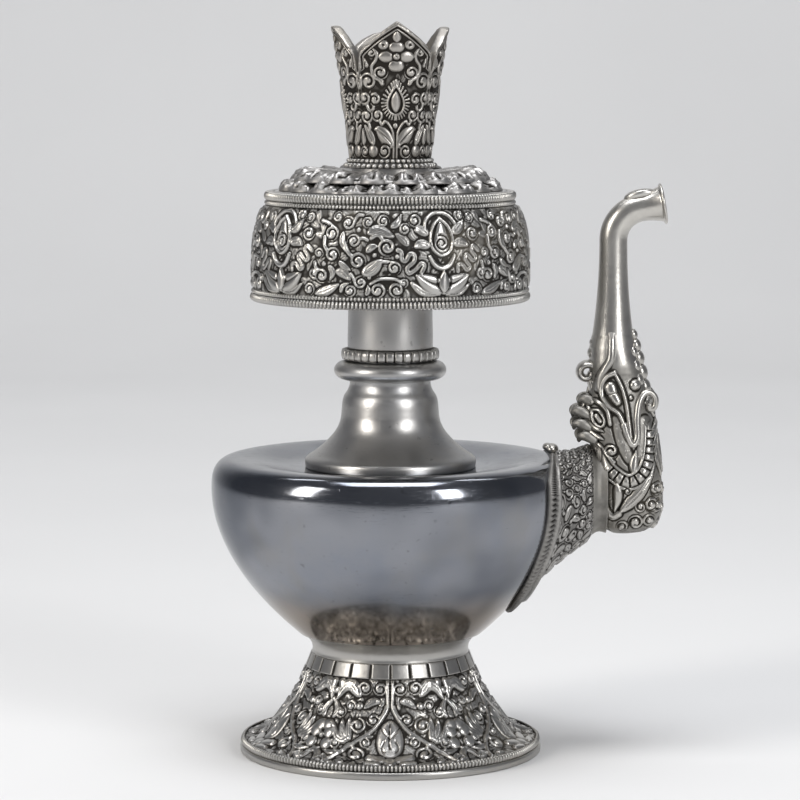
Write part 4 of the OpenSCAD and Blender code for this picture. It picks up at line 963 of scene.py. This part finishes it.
def build_crown():
    """The chased cup, cut to its lobes: relief with a plain edge, a rounded lip and an inner wall."""
    rows, cols, deep, map_rows = 172, 480, 26, 232
    a = (np.arange(cols) + 0.5) * TAU / cols - math.pi / CROWN_LOBES
    turn = FRONT + CROWN_TURN + a
    top = lobe_top(a)
    s = np.linspace(0, 1, rows)[:, None]
    z = CROWN_Z + (top - CROWN_Z) * s
    h = np.tile(crown_relief(map_rows, cols // CROWN_LOBES), (1, CROWN_LOBES))
    k = np.clip((z - CROWN_Z) / CROWN_H * (map_rows - 1), 0, map_rows - 1.001)
    i = k.astype(int)
    j = np.broadcast_to(np.arange(cols), i.shape)
    lift = h[i, j] * (1 - (k - i)) + h[i + 1, j] * (k - i)
    # a plain edge follows the lobe's outline, with a thin ridge inside it
    lobe_r, lobe_half, slit_z = 21.4, 16.3, 282.0
    part = np.radians(np.abs((np.degrees(a) + 45) % 90 - 45)) * lobe_r
    slope_gap = np.minimum((top - z) * 0.86, 8)
    side_gap = np.maximum(lobe_half - part, 0) + np.clip((slit_z - z) * 1.6, 0, 8)
    gap = np.minimum(slope_gap, side_gap)
    rim = np.clip((1.5 - gap) / 0.35, 0, 1)
    ridge = np.exp(-((gap - 2.4) / 0.36) ** 2)
    lift = lift * np.clip((gap - 2.7) / 0.5, 0, 1)
    lift = np.maximum(lift, np.maximum(1.15 * rim, 0.8 * ridge))
    r = crown_radius(z) + 0.9 * lift
    level = levels_of(lift, 3, 0.4)
    tick = np.sin(z * 3.4 + part * 2.0)
    r = r - 0.22 * rim * (tick > 0.35)
    level = np.clip(np.maximum(level, (0.56 + 0.24 * tick) * rim) - 0.25 * rim * (tick > 0.35), 0, 1)
    # the wall thickens towards the lobes' rounded edges
    wall = 1.5 + 1.5 * np.clip((z[::-1] - 268) / 26, 0, 1)
    pick = np.linspace(0, rows - 1, deep).astype(int)
    inner_z = z[::-1][pick]
    inner_r = crown_radius(inner_z) - wall[pick]
    bow = np.linspace(0, math.pi, 9)[1:-1, None]
    mid, half = (r[-1] + inner_r[0]) / 2, (r[-1] - inner_r[0]) / 2
    lip_r, lip_z = mid + half * np.cos(bow), top + 0.55 * np.sin(bow)
    rr, zz = np.vstack([r, lip_r, inner_r]), np.vstack([z, lip_z, inner_z])
    level = np.vstack([level, np.full((7, cols), 0.62), np.full((deep, cols), 0.5)])
    piece("crown_cup_chased", [spun(rr, zz, turn)], "crown", crown_silver, ["crown_cup"],
          level)


def build_crown_foot():
    """Two rows of beads under the cup, and its floor with a hole for the sprinkler's stem."""
    rows = ((17.7, 242.7, 1.15, 1.5, 44, 10), (16.9, 244.7, 0.9, 1.0, 48, 10))
    sheets, level = joined([bead_ring(*row) for row in rows])
    piece("crown_foot_beads", sheets, "crown", bead_silver, ["crown_bead_ring"], level)
    floor = ((6.0, 245.5), (14.8, 245.5), (14.8, 247.5), (6.0, 247.5))
    piece("crown_floor_disc", [turned(loop(floor, 40), 160)], "crown", neck_silver,
          ["crown_floor"])


# Spout

def oval_place(a, out, inset):
    """A point of the socket's oval on the belly: angle a, moved out from the belly, drawn in by inset."""
    reach = 1 - inset / SOCKET_HALF
    u = 0.15 + 1.80 * (0.5 + 0.5 * reach * np.sin(a))
    y = SOCKET_HALF * reach * np.cos(a)

    def on_belly(u):
        low = np.minimum(u, 1)
        q = np.clip(u - 1, 0, 1) * math.pi / 2
        r = np.where(u < 1, BELLY_R - BOWL_DRAW * (1 - low) ** 2,
                     CREST_R + SHOULDER_W * np.cos(q) ** SHOULDER_POWER)
        z = np.where(u < 1, BELLY_Z + BOWL_H * low, WIDE_Z + SHOULDER_H * np.sin(q) ** SHOULDER_POWER)
        return r, z

    r, z = on_belly(u)
    r2, z2 = on_belly(np.minimum(u + 0.01, 2))
    r1, z1 = on_belly(np.maximum(u - 0.01, 0))
    n = np.hypot(r2 - r1, z2 - z1)
    r, z = r + out * (z2 - z1) / n, z - out * (r2 - r1) / n
    return np.stack([np.sqrt(np.maximum(r * r - y * y, 1)), y, z], -1)


def socket_relief(rows, cols):
    """Close scrolls and leaves all round the socket, in rows that grow smaller towards the throat."""
    m = Relief(176.0, 27.0, cols, rows, np.linspace(1.20, 0.72, rows))
    hi = 1.1
    count = 25
    for k, (y, r) in enumerate(((3.4, 3.1), (9.2, 3.0), (14.8, 2.7), (19.8, 2.4), (24.2, 2.0))):
        size = r * float(np.interp(y, m.y, m.stretch)) ** 0.5
        for i in range(count):
            m.origin = (i + 0.5 * (k % 2)) * m.width / count
            hand = 1 if (i + k) % 2 else -1
            if (i * 7 + k * 3) % 5 < 3:
                m.scroll(0, y, 1.08 * size, hi, 97 * i + 40 * k, hand, 1.2)
            else:
                a = math.radians(63 * i + 50 * k)
                c, s = math.cos(a), math.sin(a)
                m.leaf([(-2.6 * c, y - 2.6 * s), (0.6 * s, y + 0.5 * c), (2.6 * c, y + 2.6 * s)], 1.6, hi)
            m.dome(3.5, y + 2.7, 0.9, 0.8 * hi)
    m.ground(0.45, 0.08, 90, 0.8)
    return m.h


def build_socket():
    """The chased cone: straight lines from the belly's oval to the round throat, drawn in half way."""
    rows, cols, throat_r = 96, 560, 18.9
    a = np.arange(cols) * TAU / cols
    t = np.linspace(0, 1, rows)[:, None, None]
    base = oval_place(a, 0.8, 4.0)
    end = np.stack([np.full(cols, THROAT_X), throat_r * np.cos(a), SPOUT_Z + throat_r * np.sin(a)], -1)
    skin = base + (end - base) * t
    # the cone is a little hollow along its length
    axis = np.array([0, 0, SPOUT_Z])
    spread = skin - axis
    spread[..., 0] = 0
    skin = skin - spread * (0.05 * np.sin(math.pi * t))
    n = skin_normals(skin)
    n = np.where((n * spread).sum(-1, keepdims=True) < 0, -n, n)
    h = socket_relief(rows, cols)
    edge = np.clip((rows - 1 - np.arange(rows)) / 8.0, 0, 1)[:, None]
    skin = skin + n * (h * edge)[..., None]
    inner = np.stack([end, base + (end - base) * 0.5, base], 0)
    inner = axis + (inner - axis) * np.array([1, 0.90, 0.90])
    piece("spout_socket_chased", [sheet(np.concatenate([skin, inner], 0))], "vessel", socket_silver,
          ["spout_socket"], np.vstack([levels_of(h, 3, 0.4), np.full((3, cols), 0.3)]))


def build_socket_edge():
    """A strip along the oval: a ladder of ribs between a low outer line and a raised inner line."""
    rungs = 156
    cols = rungs * 8
    a = np.arange(cols) * TAU / cols
    rung = np.abs(np.cos(a * rungs / 2)) ** 2
    across = ((-0.5, 0.0, 0), (-0.4, 1.3, 0.2), (0.1, 1.7, 0.7), (0.8, 1.6, 1.0), (1.7, 1.6, 1.0),
              (2.5, 1.6, 1.0), (2.9, 1.6, 0.3), (3.2, 2.9, 0), (3.7, 3.4, 0), (4.2, 3.1, 0), (4.6, 1.2, 0),
              (4.6, 0.0, 0))
    strip = np.stack([oval_place(a, out + 0.8 * beads * (1 - rung), inset) for inset, out, beads in across],
                     0)
    level = np.stack([np.clip(0.52 + 0.10 * (out > 2.5) - beads * (0.34 * rung), 0, 1) * np.ones(cols)
                      for inset, out, beads in across], 0)
    piece("socket_edge_beaded", [sheet(strip)], "vessel", socket_silver, ["socket_edge"],
          level)


def build_lug():
    """The strip's upper end, rolled into a small low knob."""
    top = oval_place(np.array([math.pi / 2]), 3.0, 1.6)[0]
    piece("socket_lug_rolled", [ball(top + [-0.6, 0, 0.6], (2.9, 4.4, 2.2)),
                                ball(top + [-2.4, 0, 1.4], (2.0, 3.6, 1.6))], "vessel", head_silver,
          ["socket_lug"], weld=True)


def build_throat():
    """A hollowed ring: an outline carried round the spout's level axis."""
    line = loop(((12.0, 82.0), (18.4, 82.0), (18.8, 82.6), (18.3, 83.6), (17.5, 84.8), (17.1, 86.2),
                 (17.3, 87.6), (17.7, 89.0), (12.0, 89.0)), 60)
    r, cols = line[:, :1], 192
    b = np.arange(cols) * TAU / cols
    ring = np.stack([np.repeat(line[:, 1:], cols, 1), r * np.cos(b), SPOUT_Z + r * np.sin(b)], -1)
    piece("spout_throat_turned", [sheet(ring)], "vessel", head_silver, ["spout_throat"],
          np.full(ring.shape[:2], 0.34))


def head_section(z):
    """The head's back edge, front edge and half width at height z."""
    back = np.interp(z, [91, 93, 96, 100, 106, 127, 130, 134, 138, 143, 147, 152, 160, 168, 172, 176],
                     [92, 88.5, 86, 84.4, 83.8, 84.0, 82.4, 80.2, 79.2, 79.6, 81.2, 82.2, 82.1, 82.0, 82.8,
                      84.0])
    front = np.interp(z, [91, 92, 94, 97, 101, 113, 120, 128, 136, 143, 150, 158, 168, 172, 176],
                      [99, 105, 108.6, 110.8, 111.9, 112.0, 111.4, 110.4, 109.2, 107.8, 105.7, 103.4, 101.0,
                       100.2, 99.0])
    half = np.interp(z, [91, 92, 94, 97, 102, 110, 118, 128, 138, 148, 158, 168, 172, 176],
                     [4.0, 8.0, 11.4, 13.8, 16.0, 16.9, 16.4, 15.0, 13.4, 12.0, 10.7, 9.5, 8.7, 7.5])
    return back, front, half


def tube_skinned(m):
    """The map's heights, with the ground above the mouth raised to the tube's own smooth skin."""
    return np.maximum(m.h, HEAD_SKIN * np.clip((m.y - 62.0) / 5.0, 0, 1)[:, None])


def head_relief(rows, cols):
    """One cheek of the makara in side view: eye, brow, toothed mouth, folds, leaves and curls."""
    m = Relief(HEAD_W, HEAD_H, cols, rows, wrap=False)
    m.origin = -HEAD_X
    hi = 1.4

    def run(points, half, high=1.0, n=60):
        return m.ridge([(x, z - HEAD_Z) for x, z in points], n, half, high * hi)

    def leaf(points, half, high=1.0, vein=True):
        m.leaf([(x, z - HEAD_Z) for x, z in points], half, high * hi, vein)

    # granulated gum, then the toothed jaw
    gum = run([(92.6, 139.0), (94.4, 131.0), (97.6, 124.0), (100.6, 122.8), (103.4, 128.6), (104.2, 138.6)],
              2.7, 0.7, 80)
    for p in gum[::2]:
        m.dome(p[0] + dice.normal(0, 1.0), p[1] + dice.normal(0, 1.0), 0.5, 0.9 * hi)
    jaw = run([(85.6, 124.6), (88.2, 120.2), (91.6, 116.8), (97.2, 113.9), (102.4, 116.2), (105.6, 121.8),
               (106.8, 128.6), (107.2, 136.0)], 2.5, 1.15, 100)
    side = normals_of(jaw)
    for i in range(18, 98, 7):
        m.cut(np.stack([jaw[i] + side[i] * k for k in np.linspace(-2.4, 1.8, 11)]), 0.42, 1.5)
    m.stroke(jaw + 2.9 * side, 0.7, hi)
    m.stroke(jaw - 2.9 * side, 0.7, 1.1 * hi)
    leaf(((99.2, 117.6), (99.6, 121.6), (100.4, 126.6)), 2.1, 1.25, False)
    m.dome(100.4, 62.2, 2.4, 1.5 * hi)
    m.dome(98.4, 57.0, 1.0, hi)
    # almond form and jewel bud above the mouth
    run([(91.8, 158.2), (88.4, 156.4), (86.6, 152.6), (86.8, 148.4), (89.6, 144.4), (93.4, 141.6),
         (95.4, 137.0), (97.0, 131.6)], 1.2, 1.35, 80)
    run([(91.8, 158.0), (94.6, 152.4), (96.4, 146.0), (97.4, 139.0), (98.2, 132.0)], 1.0, 1.2)
    m.ridge([(89.9, 61.2), (91.0, 58.6), (92.8, 55.6)], 14, np.linspace(2.6, 1.9, 14), 1.5 * hi, 0.4)
    m.groove([(87.6, 57.6), (90.6, 58.6), (93.6, 59.4)], 14, 0.36, 0.8)
    # long fold up the tube's foot
    run([(85.2, 151.6), (85.8, 155.8), (87.8, 159.6), (90.0, 163.6), (90.5, 168.6), (90.5, 174.4)], 1.9,
        1.25)
    # corner of the mouth
    m.scroll(90.4, 35.4, 3.0, 1.3 * hi, 140, -1)
    for k in range(5):
        x, z = 83.6 + 1.5 * k, 38.4 - 1.7 * k
        m.ridge([(x - 0.8, z + 1.6), (x + 2.0, z - 0.6)], 10, 0.7, 1.1 * hi)
    # eye and face
    run([(82.4, 142.8), (85.4, 142.6), (87.6, 138.6), (86.2, 136.2), (83.4, 138.2), (82.4, 142.8)], 0.65,
        1.25)
    m.ridge([(84.4, 49.6), (85.9, 47.4)], 12, 1.1, 1.35 * hi)
    run([(79.8, 146.4), (84.6, 146.4), (88.6, 142.8), (89.8, 137.4)], 1.1, 1.05)
    for dz in (0.0, 3.0, 6.0, 9.0):
        leaf(((77.8, 138.4 - dz), (82.0, 136.2 - dz), (87.4, 134.2 - 1.1 * dz)), 1.7, 1.0, False)
    # hanging loop behind the jaw
    run([(88.4, 120.0), (87.2, 115.0), (87.0, 108.4), (88.0, 102.4), (91.0, 99.4), (93.4, 100.6)], 1.75,
        1.25, 70)
    leaf(((92.6, 113.6), (93.0, 107.0), (91.8, 101.4)), 2.1, 1.2, False)
    # throat leaf and curls on the breast
    leaf(((94.0, 101.6), (98.0, 105.4), (102.6, 110.4), (107.8, 118.0)), 2.8, 1.2)
    for x, z, r, a in ((100.6, 97.0, 3.2, 0), (106.8, 104.4, 3.1, 90), (106.2, 97.4, 2.9, 180),
                       (95.2, 95.0, 2.5, 30), (102.4, 103.6, 2.4, 250), (108.8, 110.8, 2.7, 60),
                       (97.0, 110.2, 1.7, 10)):
        m.scroll(x, z - HEAD_Z, r, 1.15 * hi, a, 1 if x > 102 else -1)
    for x, z, r in ((103.6, 158.4, 1.7), (101.6, 163.0, 1.6), (100.4, 168.4, 1.4), (87.6, 93.4, 1.8)):
        m.dome(x, z - HEAD_Z, r, hi)
    m.ground(0.70, 0.08, 70, 1.0)
    return tube_skinned(m)


def front_relief(rows, cols):
    """The head seen from the front: nostrils, lip, beard and a breast of curls, the same on both sides."""
    m = Relief(HEAD_W, HEAD_H, cols, rows, wrap=False)
    m.origin = HEAD_W / 2
    hi = 1.4

    def half():
        m.ridge([(0, 46.6), (5.6, 45.0), (11.5, 40.4), (14.0, 36.0)], 40, 1.5, 1.4 * hi)
        m.ridge([(0, 43.0), (5.4, 41.6), (11.0, 37.0)], 40, 0.8, 1.1 * hi)
        m.leaf([(4.2, 41.0), (4.6, 34.0), (3.4, 25.4)], 2.0, 1.2 * hi)
        m.leaf([(8.6, 38.4), (9.2, 31.4), (7.2, 24.0)], 2.0, 1.1 * hi)
        m.scroll(4.6, 19.0, 3.4, 1.2 * hi, 160, -1)
        m.scroll(11.2, 20.0, 3.1, 1.2 * hi, 20, 1)
        m.scroll(4.2, 11.4, 3.2, 1.2 * hi, 200, 1)
        m.scroll(10.6, 12.6, 3.0, 1.2 * hi, 300, -1)
        m.scroll(5.0, 4.4, 2.8, 1.2 * hi, 90, 1)
        m.dome(3.6, 50.4, 2.3, 1.4 * hi)
        m.cut([(3.9, 50.2)], 0.9, 1.0)
        for y in (54.0, 56.8):
            m.ridge([(0.6, y + 0.8), (4.6, y), (8.0, y - 2.2)], 20, 0.8, 1.1 * hi)

    m.both(half)
    m.leaf([(0, 41.6), (0, 34.0), (0, 24.2)], 2.0, 1.3 * hi)
    m.leaf([(0, 2.6), (0, 12.0), (0, 22.4)], 1.5, 1.2 * hi)
    m.ridge([(0, 47.0), (0, 60.0)], 20, 1.2, 1.2 * hi)
    m.ground(0.70, 0.08, 40, 1.0)
    return tube_skinned(m)


def sampled(field, i, j):
    """The field's value between its grid points: a mean weighted by nearness."""
    i = np.clip(i, 0, field.shape[0] - 1.001)
    j = np.clip(j, 0, field.shape[1] - 1.001)
    i0, j0 = i.astype(int), j.astype(int)
    fi, fj = i - i0, j - j0
    return ((field[i0, j0] * (1 - fj) + field[i0, j0 + 1] * fj) * (1 - fi)
            + (field[i0 + 1, j0] * (1 - fj) + field[i0 + 1, j0 + 1] * fj) * fi)


def build_head():
    """The head: oval sections, with the side map and the front map raised along their normals."""
    rows, cols = 260, 360
    z = np.linspace(91.2, 175.5, rows)
    back, front, half = (v[:, None] for v in head_section(z))
    b = np.arange(cols) * TAU / cols
    c, s = np.cos(b), np.sin(b)
    power = np.interp(z, [91, 150, 168], [2.6, 2.4, 2.0])[:, None]
    fat = (np.abs(c) ** power + np.abs(s) ** power) ** (-1 / power)
    x = (back + front) / 2 + (front - back) / 2 * c * fat
    y = half * s * fat
    zz = np.repeat(z[:, None], cols, 1)
    skin = np.stack([x, y, zz], -1)
    n = skin_normals(skin)
    n = n * np.sign(n[..., :1] * c[:, None] + n[..., 1:2] * s[:, None])
    up = (zz - HEAD_Z) / HEAD_H * (HEAD_ROWS - 1)
    h = sampled(head_relief(HEAD_ROWS, HEAD_COLS), up, (x - HEAD_X) / HEAD_W * HEAD_COLS - 0.5)
    ahead = 1 - np.clip((np.abs(n[..., 1]) - 0.45) / 0.3, 0, 1)
    front_h = sampled(front_relief(HEAD_ROWS, HEAD_COLS), up, (y + HEAD_W / 2) / HEAD_W * HEAD_COLS - 0.5)
    h = h + (front_h - h) * ahead
    i = np.arange(rows)[:, None]
    fade = np.clip((rows - 1 - i) / 12.0, 0, 1) * np.clip(i / 6.0, 0, 1)
    skin = skin + n * ((h - HEAD_SKIN) * fade + 0.1)[..., None]
    low = np.zeros((1, cols, 3)) + np.array([95.5, 0, 91.0])
    top = skin[-1:] * np.array([1, 1, 0]) + np.array([0, 0, 175.7])
    top = np.concatenate([(top - [TUBE_X, 0, 0]) * [k, k, 1] + [TUBE_X, 0, 0] for k in (0.97, 0.85, 0.0)], 0)
    skin = np.concatenate([low, skin, top], 0)
    level = levels_of(h, 3, 0.5)
    plain = np.clip((zz - 155) / 12, 0, 1)
    level = np.maximum(level, plain * np.clip((level - 0.12) / 0.2, 0, 1))
    level = np.vstack([np.full((1, cols), 0.3), level, np.ones((3, cols))])
    piece("makara_head_chased", [sheet(skin, wrap_rows=False)], "vessel", head_silver,
          ["makara_head", "makara_eyes", "makara_jaws"], level, weld=True)


def build_trunk():
    """The raised trunk: a flat wire that rises from the brow and rolls up, under three knobs."""
    t = np.linspace(0, 1, 60)
    a = math.radians(300) + 1.2 * TAU * t
    reach = 4.4 * (1 - 0.62 * t)
    roll_x, roll_z = 80.9, 157.4
    roll = np.stack([roll_x + reach * np.cos(a), 0 * t, roll_z + reach * np.sin(a)], 1)
    root = smooth([(82.2, 0, 154.6), (83.4, 0, 150.6), (84.4, 0, 146.0)], 16)
    sheets = [tube(roll, 1.9 * (1 - 0.2 * t), 18, 3.0), tube(root, np.linspace(1.4, 2.2, 16), 18, 3.0)]
    sheets += [ball((83.0, 0, 165.6), (1.9, 4.0, 2.6)), ball((83.4, 0, 169.8), (1.5, 3.4, 1.9)),
               ball((83.0, 0, 161.9), (1.7, 3.8, 1.7))]
    piece("makara_trunk_rolled", sheets, "vessel", head_silver, ["makara_trunk_curl"],
          weld=True)


def build_lip():
    """A hook on each cheek that rises from the mouth and rolls forward."""
    hook = smooth([(95.4, 13.6, 137.6), (97.2, 14.0, 131.8), (99.3, 13.8, 128.8), (101.1, 13.0, 132.2),
                   (100.9, 12.4, 139.4), (101.7, 11.4, 145.8), (103.9, 10.0, 149.6), (106.6, 9.0, 150.0),
                   (108.7, 8.6, 147.4), (108.2, 8.7, 143.8), (106.2, 9.0, 143.2), (106.0, 9.2, 145.2)], 90)
    hooks = [tube(hook * [1, side, 1], np.linspace(1.6, 1.2, 90), 18, 1.0, (0, 1, 0.02)) for side in (-1, 1)]
    piece("makara_lip_rolled", hooks, "vessel", head_silver, ["makara_lip_curl"], weld=True)


def build_ruffs():
    """Blunt leaves that sweep back behind the eye, four on each cheek, and a knob between them."""
    ruffs = [ball((77.0, 0, 141.6), (2.4, 4.2, 2.8))]
    for side in (-1, 1):
        for z, x, y in ((146.2, 78.2, 4.6), (141.4, 75.4, 6.0), (136.4, 75.8, 7.2), (131.4, 77.8, 8.6)):
            path = smooth([(x + 6.5, side * (y + 1.6), z - 1.4), (x + 2.6, side * (y + 1.2), z + 0.6),
                           (x + 0.2, side * y, z + 0.2), (x - 0.4, side * y * 0.8, z - 1.8)], 24)
            ruffs.append(tube(path, 2.1 * np.sin(np.linspace(0.7, 2.95, 24)) ** 0.8, 16, 0.8))
    dull = np.full(sum(len(points) for points, _ in ruffs), 0.45)
    piece("makara_ruffs_cast", ruffs, "vessel", head_silver, ["makara_ruffs"], dull,
          weld=True)


def build_crest():
    """Knobs half sunk in the tube's front, in a row with smaller ones beside it."""
    knobs = [ball((x, y, z), (r, r * 1.4, r * 1.3), 0.25) for x, y, z, r in (
        (104.4, 0, 151.6, 3.0), (103.0, 0, 157.6, 3.1), (101.8, 0, 163.4, 2.9), (100.8, 0, 168.6, 2.5),
        (99.8, 0, 173.0, 2.0), (101.6, 4.6, 154.8, 2.5), (101.6, -4.6, 154.8, 2.5), (100.4, 4.2, 160.6, 2.3),
        (100.4, -4.2, 160.6, 2.3), (99.6, 3.8, 166.2, 2.0), (99.6, -3.8, 166.2, 2.0))]
    piece("makara_crest_knobs", knobs, "vessel", head_silver, ["makara_crest"], weld=True)


def build_tube():
    """Upright tube, bend and flared mouth as one outline carried along the spout's middle line."""
    foot_z, bend_z, bend_r, tube_r = 168.0, 212.0, 13.5, 5.75
    up = np.stack([np.full(60, TUBE_X), np.zeros(60), np.linspace(172.0, bend_z, 60)], 1)
    a = np.radians(np.linspace(0, 80, 40)[1:])
    bend = np.stack([TUBE_X + bend_r * (1 - np.cos(a)), 0 * a, bend_z + bend_r * np.sin(a)], 1)
    ahead = np.array([math.sin(a[-1]), 0, math.cos(a[-1])])
    out = bend[-1] + np.linspace(0, 8.6, 14)[1:, None] * ahead
    path = np.vstack([up, bend, out])
    t = (up[:, 2] - foot_z) / (bend_z - foot_z)
    r = np.r_[tube_r + 3.5 * (1 - t) ** 2.1, np.full(39, tube_r), tube_r + 1.6 * np.linspace(0, 1, 13) ** 1.8]
    along = unit(np.gradient(path, axis=0))
    across = np.array([[0, 1.0, 0]])
    lift = np.cross(along, np.broadcast_to(across, along.shape))
    # the lip spreads from the mouth, then the bore runs back inside
    lip = [(0.0, 7.8), (0.2, 8.3), (0.6, 8.5), (1.1, 8.3), (1.3, 7.6), (1.2, 6.4), (0.5, 5.6)]
    end, aim, rise = path[-1], along[-1], lift[-1]
    rows_p = np.vstack([path, [end + aim * k for k, _ in lip], path[::-4]])
    rows_r = np.r_[r, [q for _, q in lip], np.minimum(r[::-4] - 1.6, 5.0)]
    rows_u = np.vstack([lift, [rise] * len(lip), lift[::-4]])
    wave = 1 + 0.006 * np.sin(3 * np.arange(64) * TAU / 64 + 0.8)
    skin = carried(rows_p, rows_r[:, None] * wave, across, rows_u)
    # Level 1 all along the tube, so that the whole tube takes chased_silver's painted highlight.
    piece("spout_tube_drawn", [sheet(skin)], "vessel", head_silver,
          ["spout_tube", "spout_lip"], np.ones(skin.shape[:2]))


def build_saddle():
    """An oval plate on the bend with a raised rim: rings of one ellipse, bent down along the tube."""
    middle_x, middle_z, half_x, half_y = 102.6, 231.4, 6.6, 4.4
    a = np.arange(72) * TAU / 72
    rings = ((1.0, -1.8), (1.06, 0.2), (1.0, 1.0), (0.88, 1.3), (0.78, 0.8), (0.6, 0.85), (0.3, 1.0),
             (0.02, 1.05))
    size, rise = np.array(rings).T[..., None]
    x = half_x * size * np.cos(a)
    plate = np.stack([middle_x + x, half_y * size * np.sin(a),
                      middle_z + rise + 0.10 * x - 0.03 * (x - 1) ** 2], -1)
    low = plate[:1] * np.array([1, 0.02, 1])
    piece("spout_saddle_plate", [sheet(np.concatenate([low, plate], 0))], "vessel", spout_silver,
          ["spout_saddle"])


for build in (build_foot, build_foot_rim, build_foot_band, build_belly, build_neck, build_drum,
              build_drum_wires, build_lotus, build_stem, build_stem_beads, build_crown, build_crown_foot,
              build_socket, build_socket_edge, build_lug, build_throat, build_head, build_trunk, build_lip,
              build_ruffs, build_crest, build_tube, build_saddle):
    build()
for node in ("sleeve", "crown_plug"):
    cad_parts[node].data.materials.clear()
    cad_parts[node].data.materials.append(neck_silver)


# Camera, floor and light

EYE, LOOK_DOWN = (0.0040, -1.353, 0.2919), 6.157
camera = bpy.data.cameras.new("camera")
camera.lens, camera.sensor_width = 148.5, 36.0
eye = bpy.data.objects.new("camera", camera)
eye.location = EYE
eye.rotation_euler = (math.radians(90 - LOOK_DOWN), 0, 0)
bpy.context.collection.objects.link(eye)
bpy.context.scene.camera = eye


def stage_floor():
    """Pale sweep: flat floor that curves up into a backdrop behind the vase."""
    a = np.linspace(0, math.pi / 2, 20)[1:]
    y = np.r_[np.linspace(-3.0, 1.6, 30), 1.6 + 0.9 * np.sin(a), np.full(10, 2.5)]
    z = np.r_[np.zeros(30), 0.9 - 0.9 * np.cos(a), np.linspace(0.9, 3.5, 11)[1:]]
    x = np.linspace(-3.5, 3.5, 24)
    points = np.stack(np.broadcast_arrays(x[None, :], y[:, None], z[:, None]), -1)
    points, quads = sheet(points, False, False)
    mesh = bpy.data.meshes.new("studio_floor")
    mesh.from_pydata(points.tolist(), [], quads.tolist())
    mesh.shade_smooth()
    obj = bpy.data.objects.new("studio_floor", mesh)
    bpy.context.collection.objects.link(obj)
    m = Finish("studio_paper")
    mottle = m.noise(m.place(), 3.0, 2, 0.5)
    mesh.materials.append(m.set(Base_Color=m.blend(mottle, (0.74, 0.74, 0.74), (0.80, 0.80, 0.80)),
                                Roughness=0.9))


def softbox(name, place, aim, size, power, colour):
    """A rectangular area light, turned so that it faces the point aim."""
    light = bpy.data.lights.new(name, "AREA")
    light.shape, light.size, light.size_y = "RECTANGLE", size[0], size[1]
    light.energy, light.color = power, colour
    obj = bpy.data.objects.new(name, light)
    obj.location = place
    toward = np.array(aim) - np.array(place)
    yaw = math.atan2(toward[1], toward[0])
    pitch = math.atan2(toward[2], math.hypot(toward[0], toward[1]))
    obj.rotation_euler = (pitch + math.pi / 2, 0, yaw - math.pi / 2)
    bpy.context.collection.objects.link(obj)


stage_floor()
softbox("left_box", (-1.15, -0.75, 0.75), (0, 0, 0.15), (0.35, 0.9), 11, (1.0, 0.96, 0.90))
softbox("right_box", (0.85, -1.05, 0.70), (0, 0, 0.15), (0.30, 0.8), 9, (1.0, 1.0, 1.0))
softbox("top_box", (0.0, -0.2, 1.5), (0, 0, 0.1), (0.9, 0.6), 12, (0.97, 0.98, 1.0))
softbox("back_wash", (0.0, 0.9, 2.2), (0, 2.4, 0.7), (2.4, 0.5), 26, (1.0, 1.0, 1.0))
world = bpy.data.worlds.new("room")
bpy.context.scene.world = world
world.use_nodes = True
world.node_tree.nodes["Background"].inputs[0].default_value = (0.16, 0.165, 0.18, 1)
world.node_tree.nodes["Background"].inputs[1].default_value = 1.0
bpy.context.scene.view_settings.view_transform = "Standard"
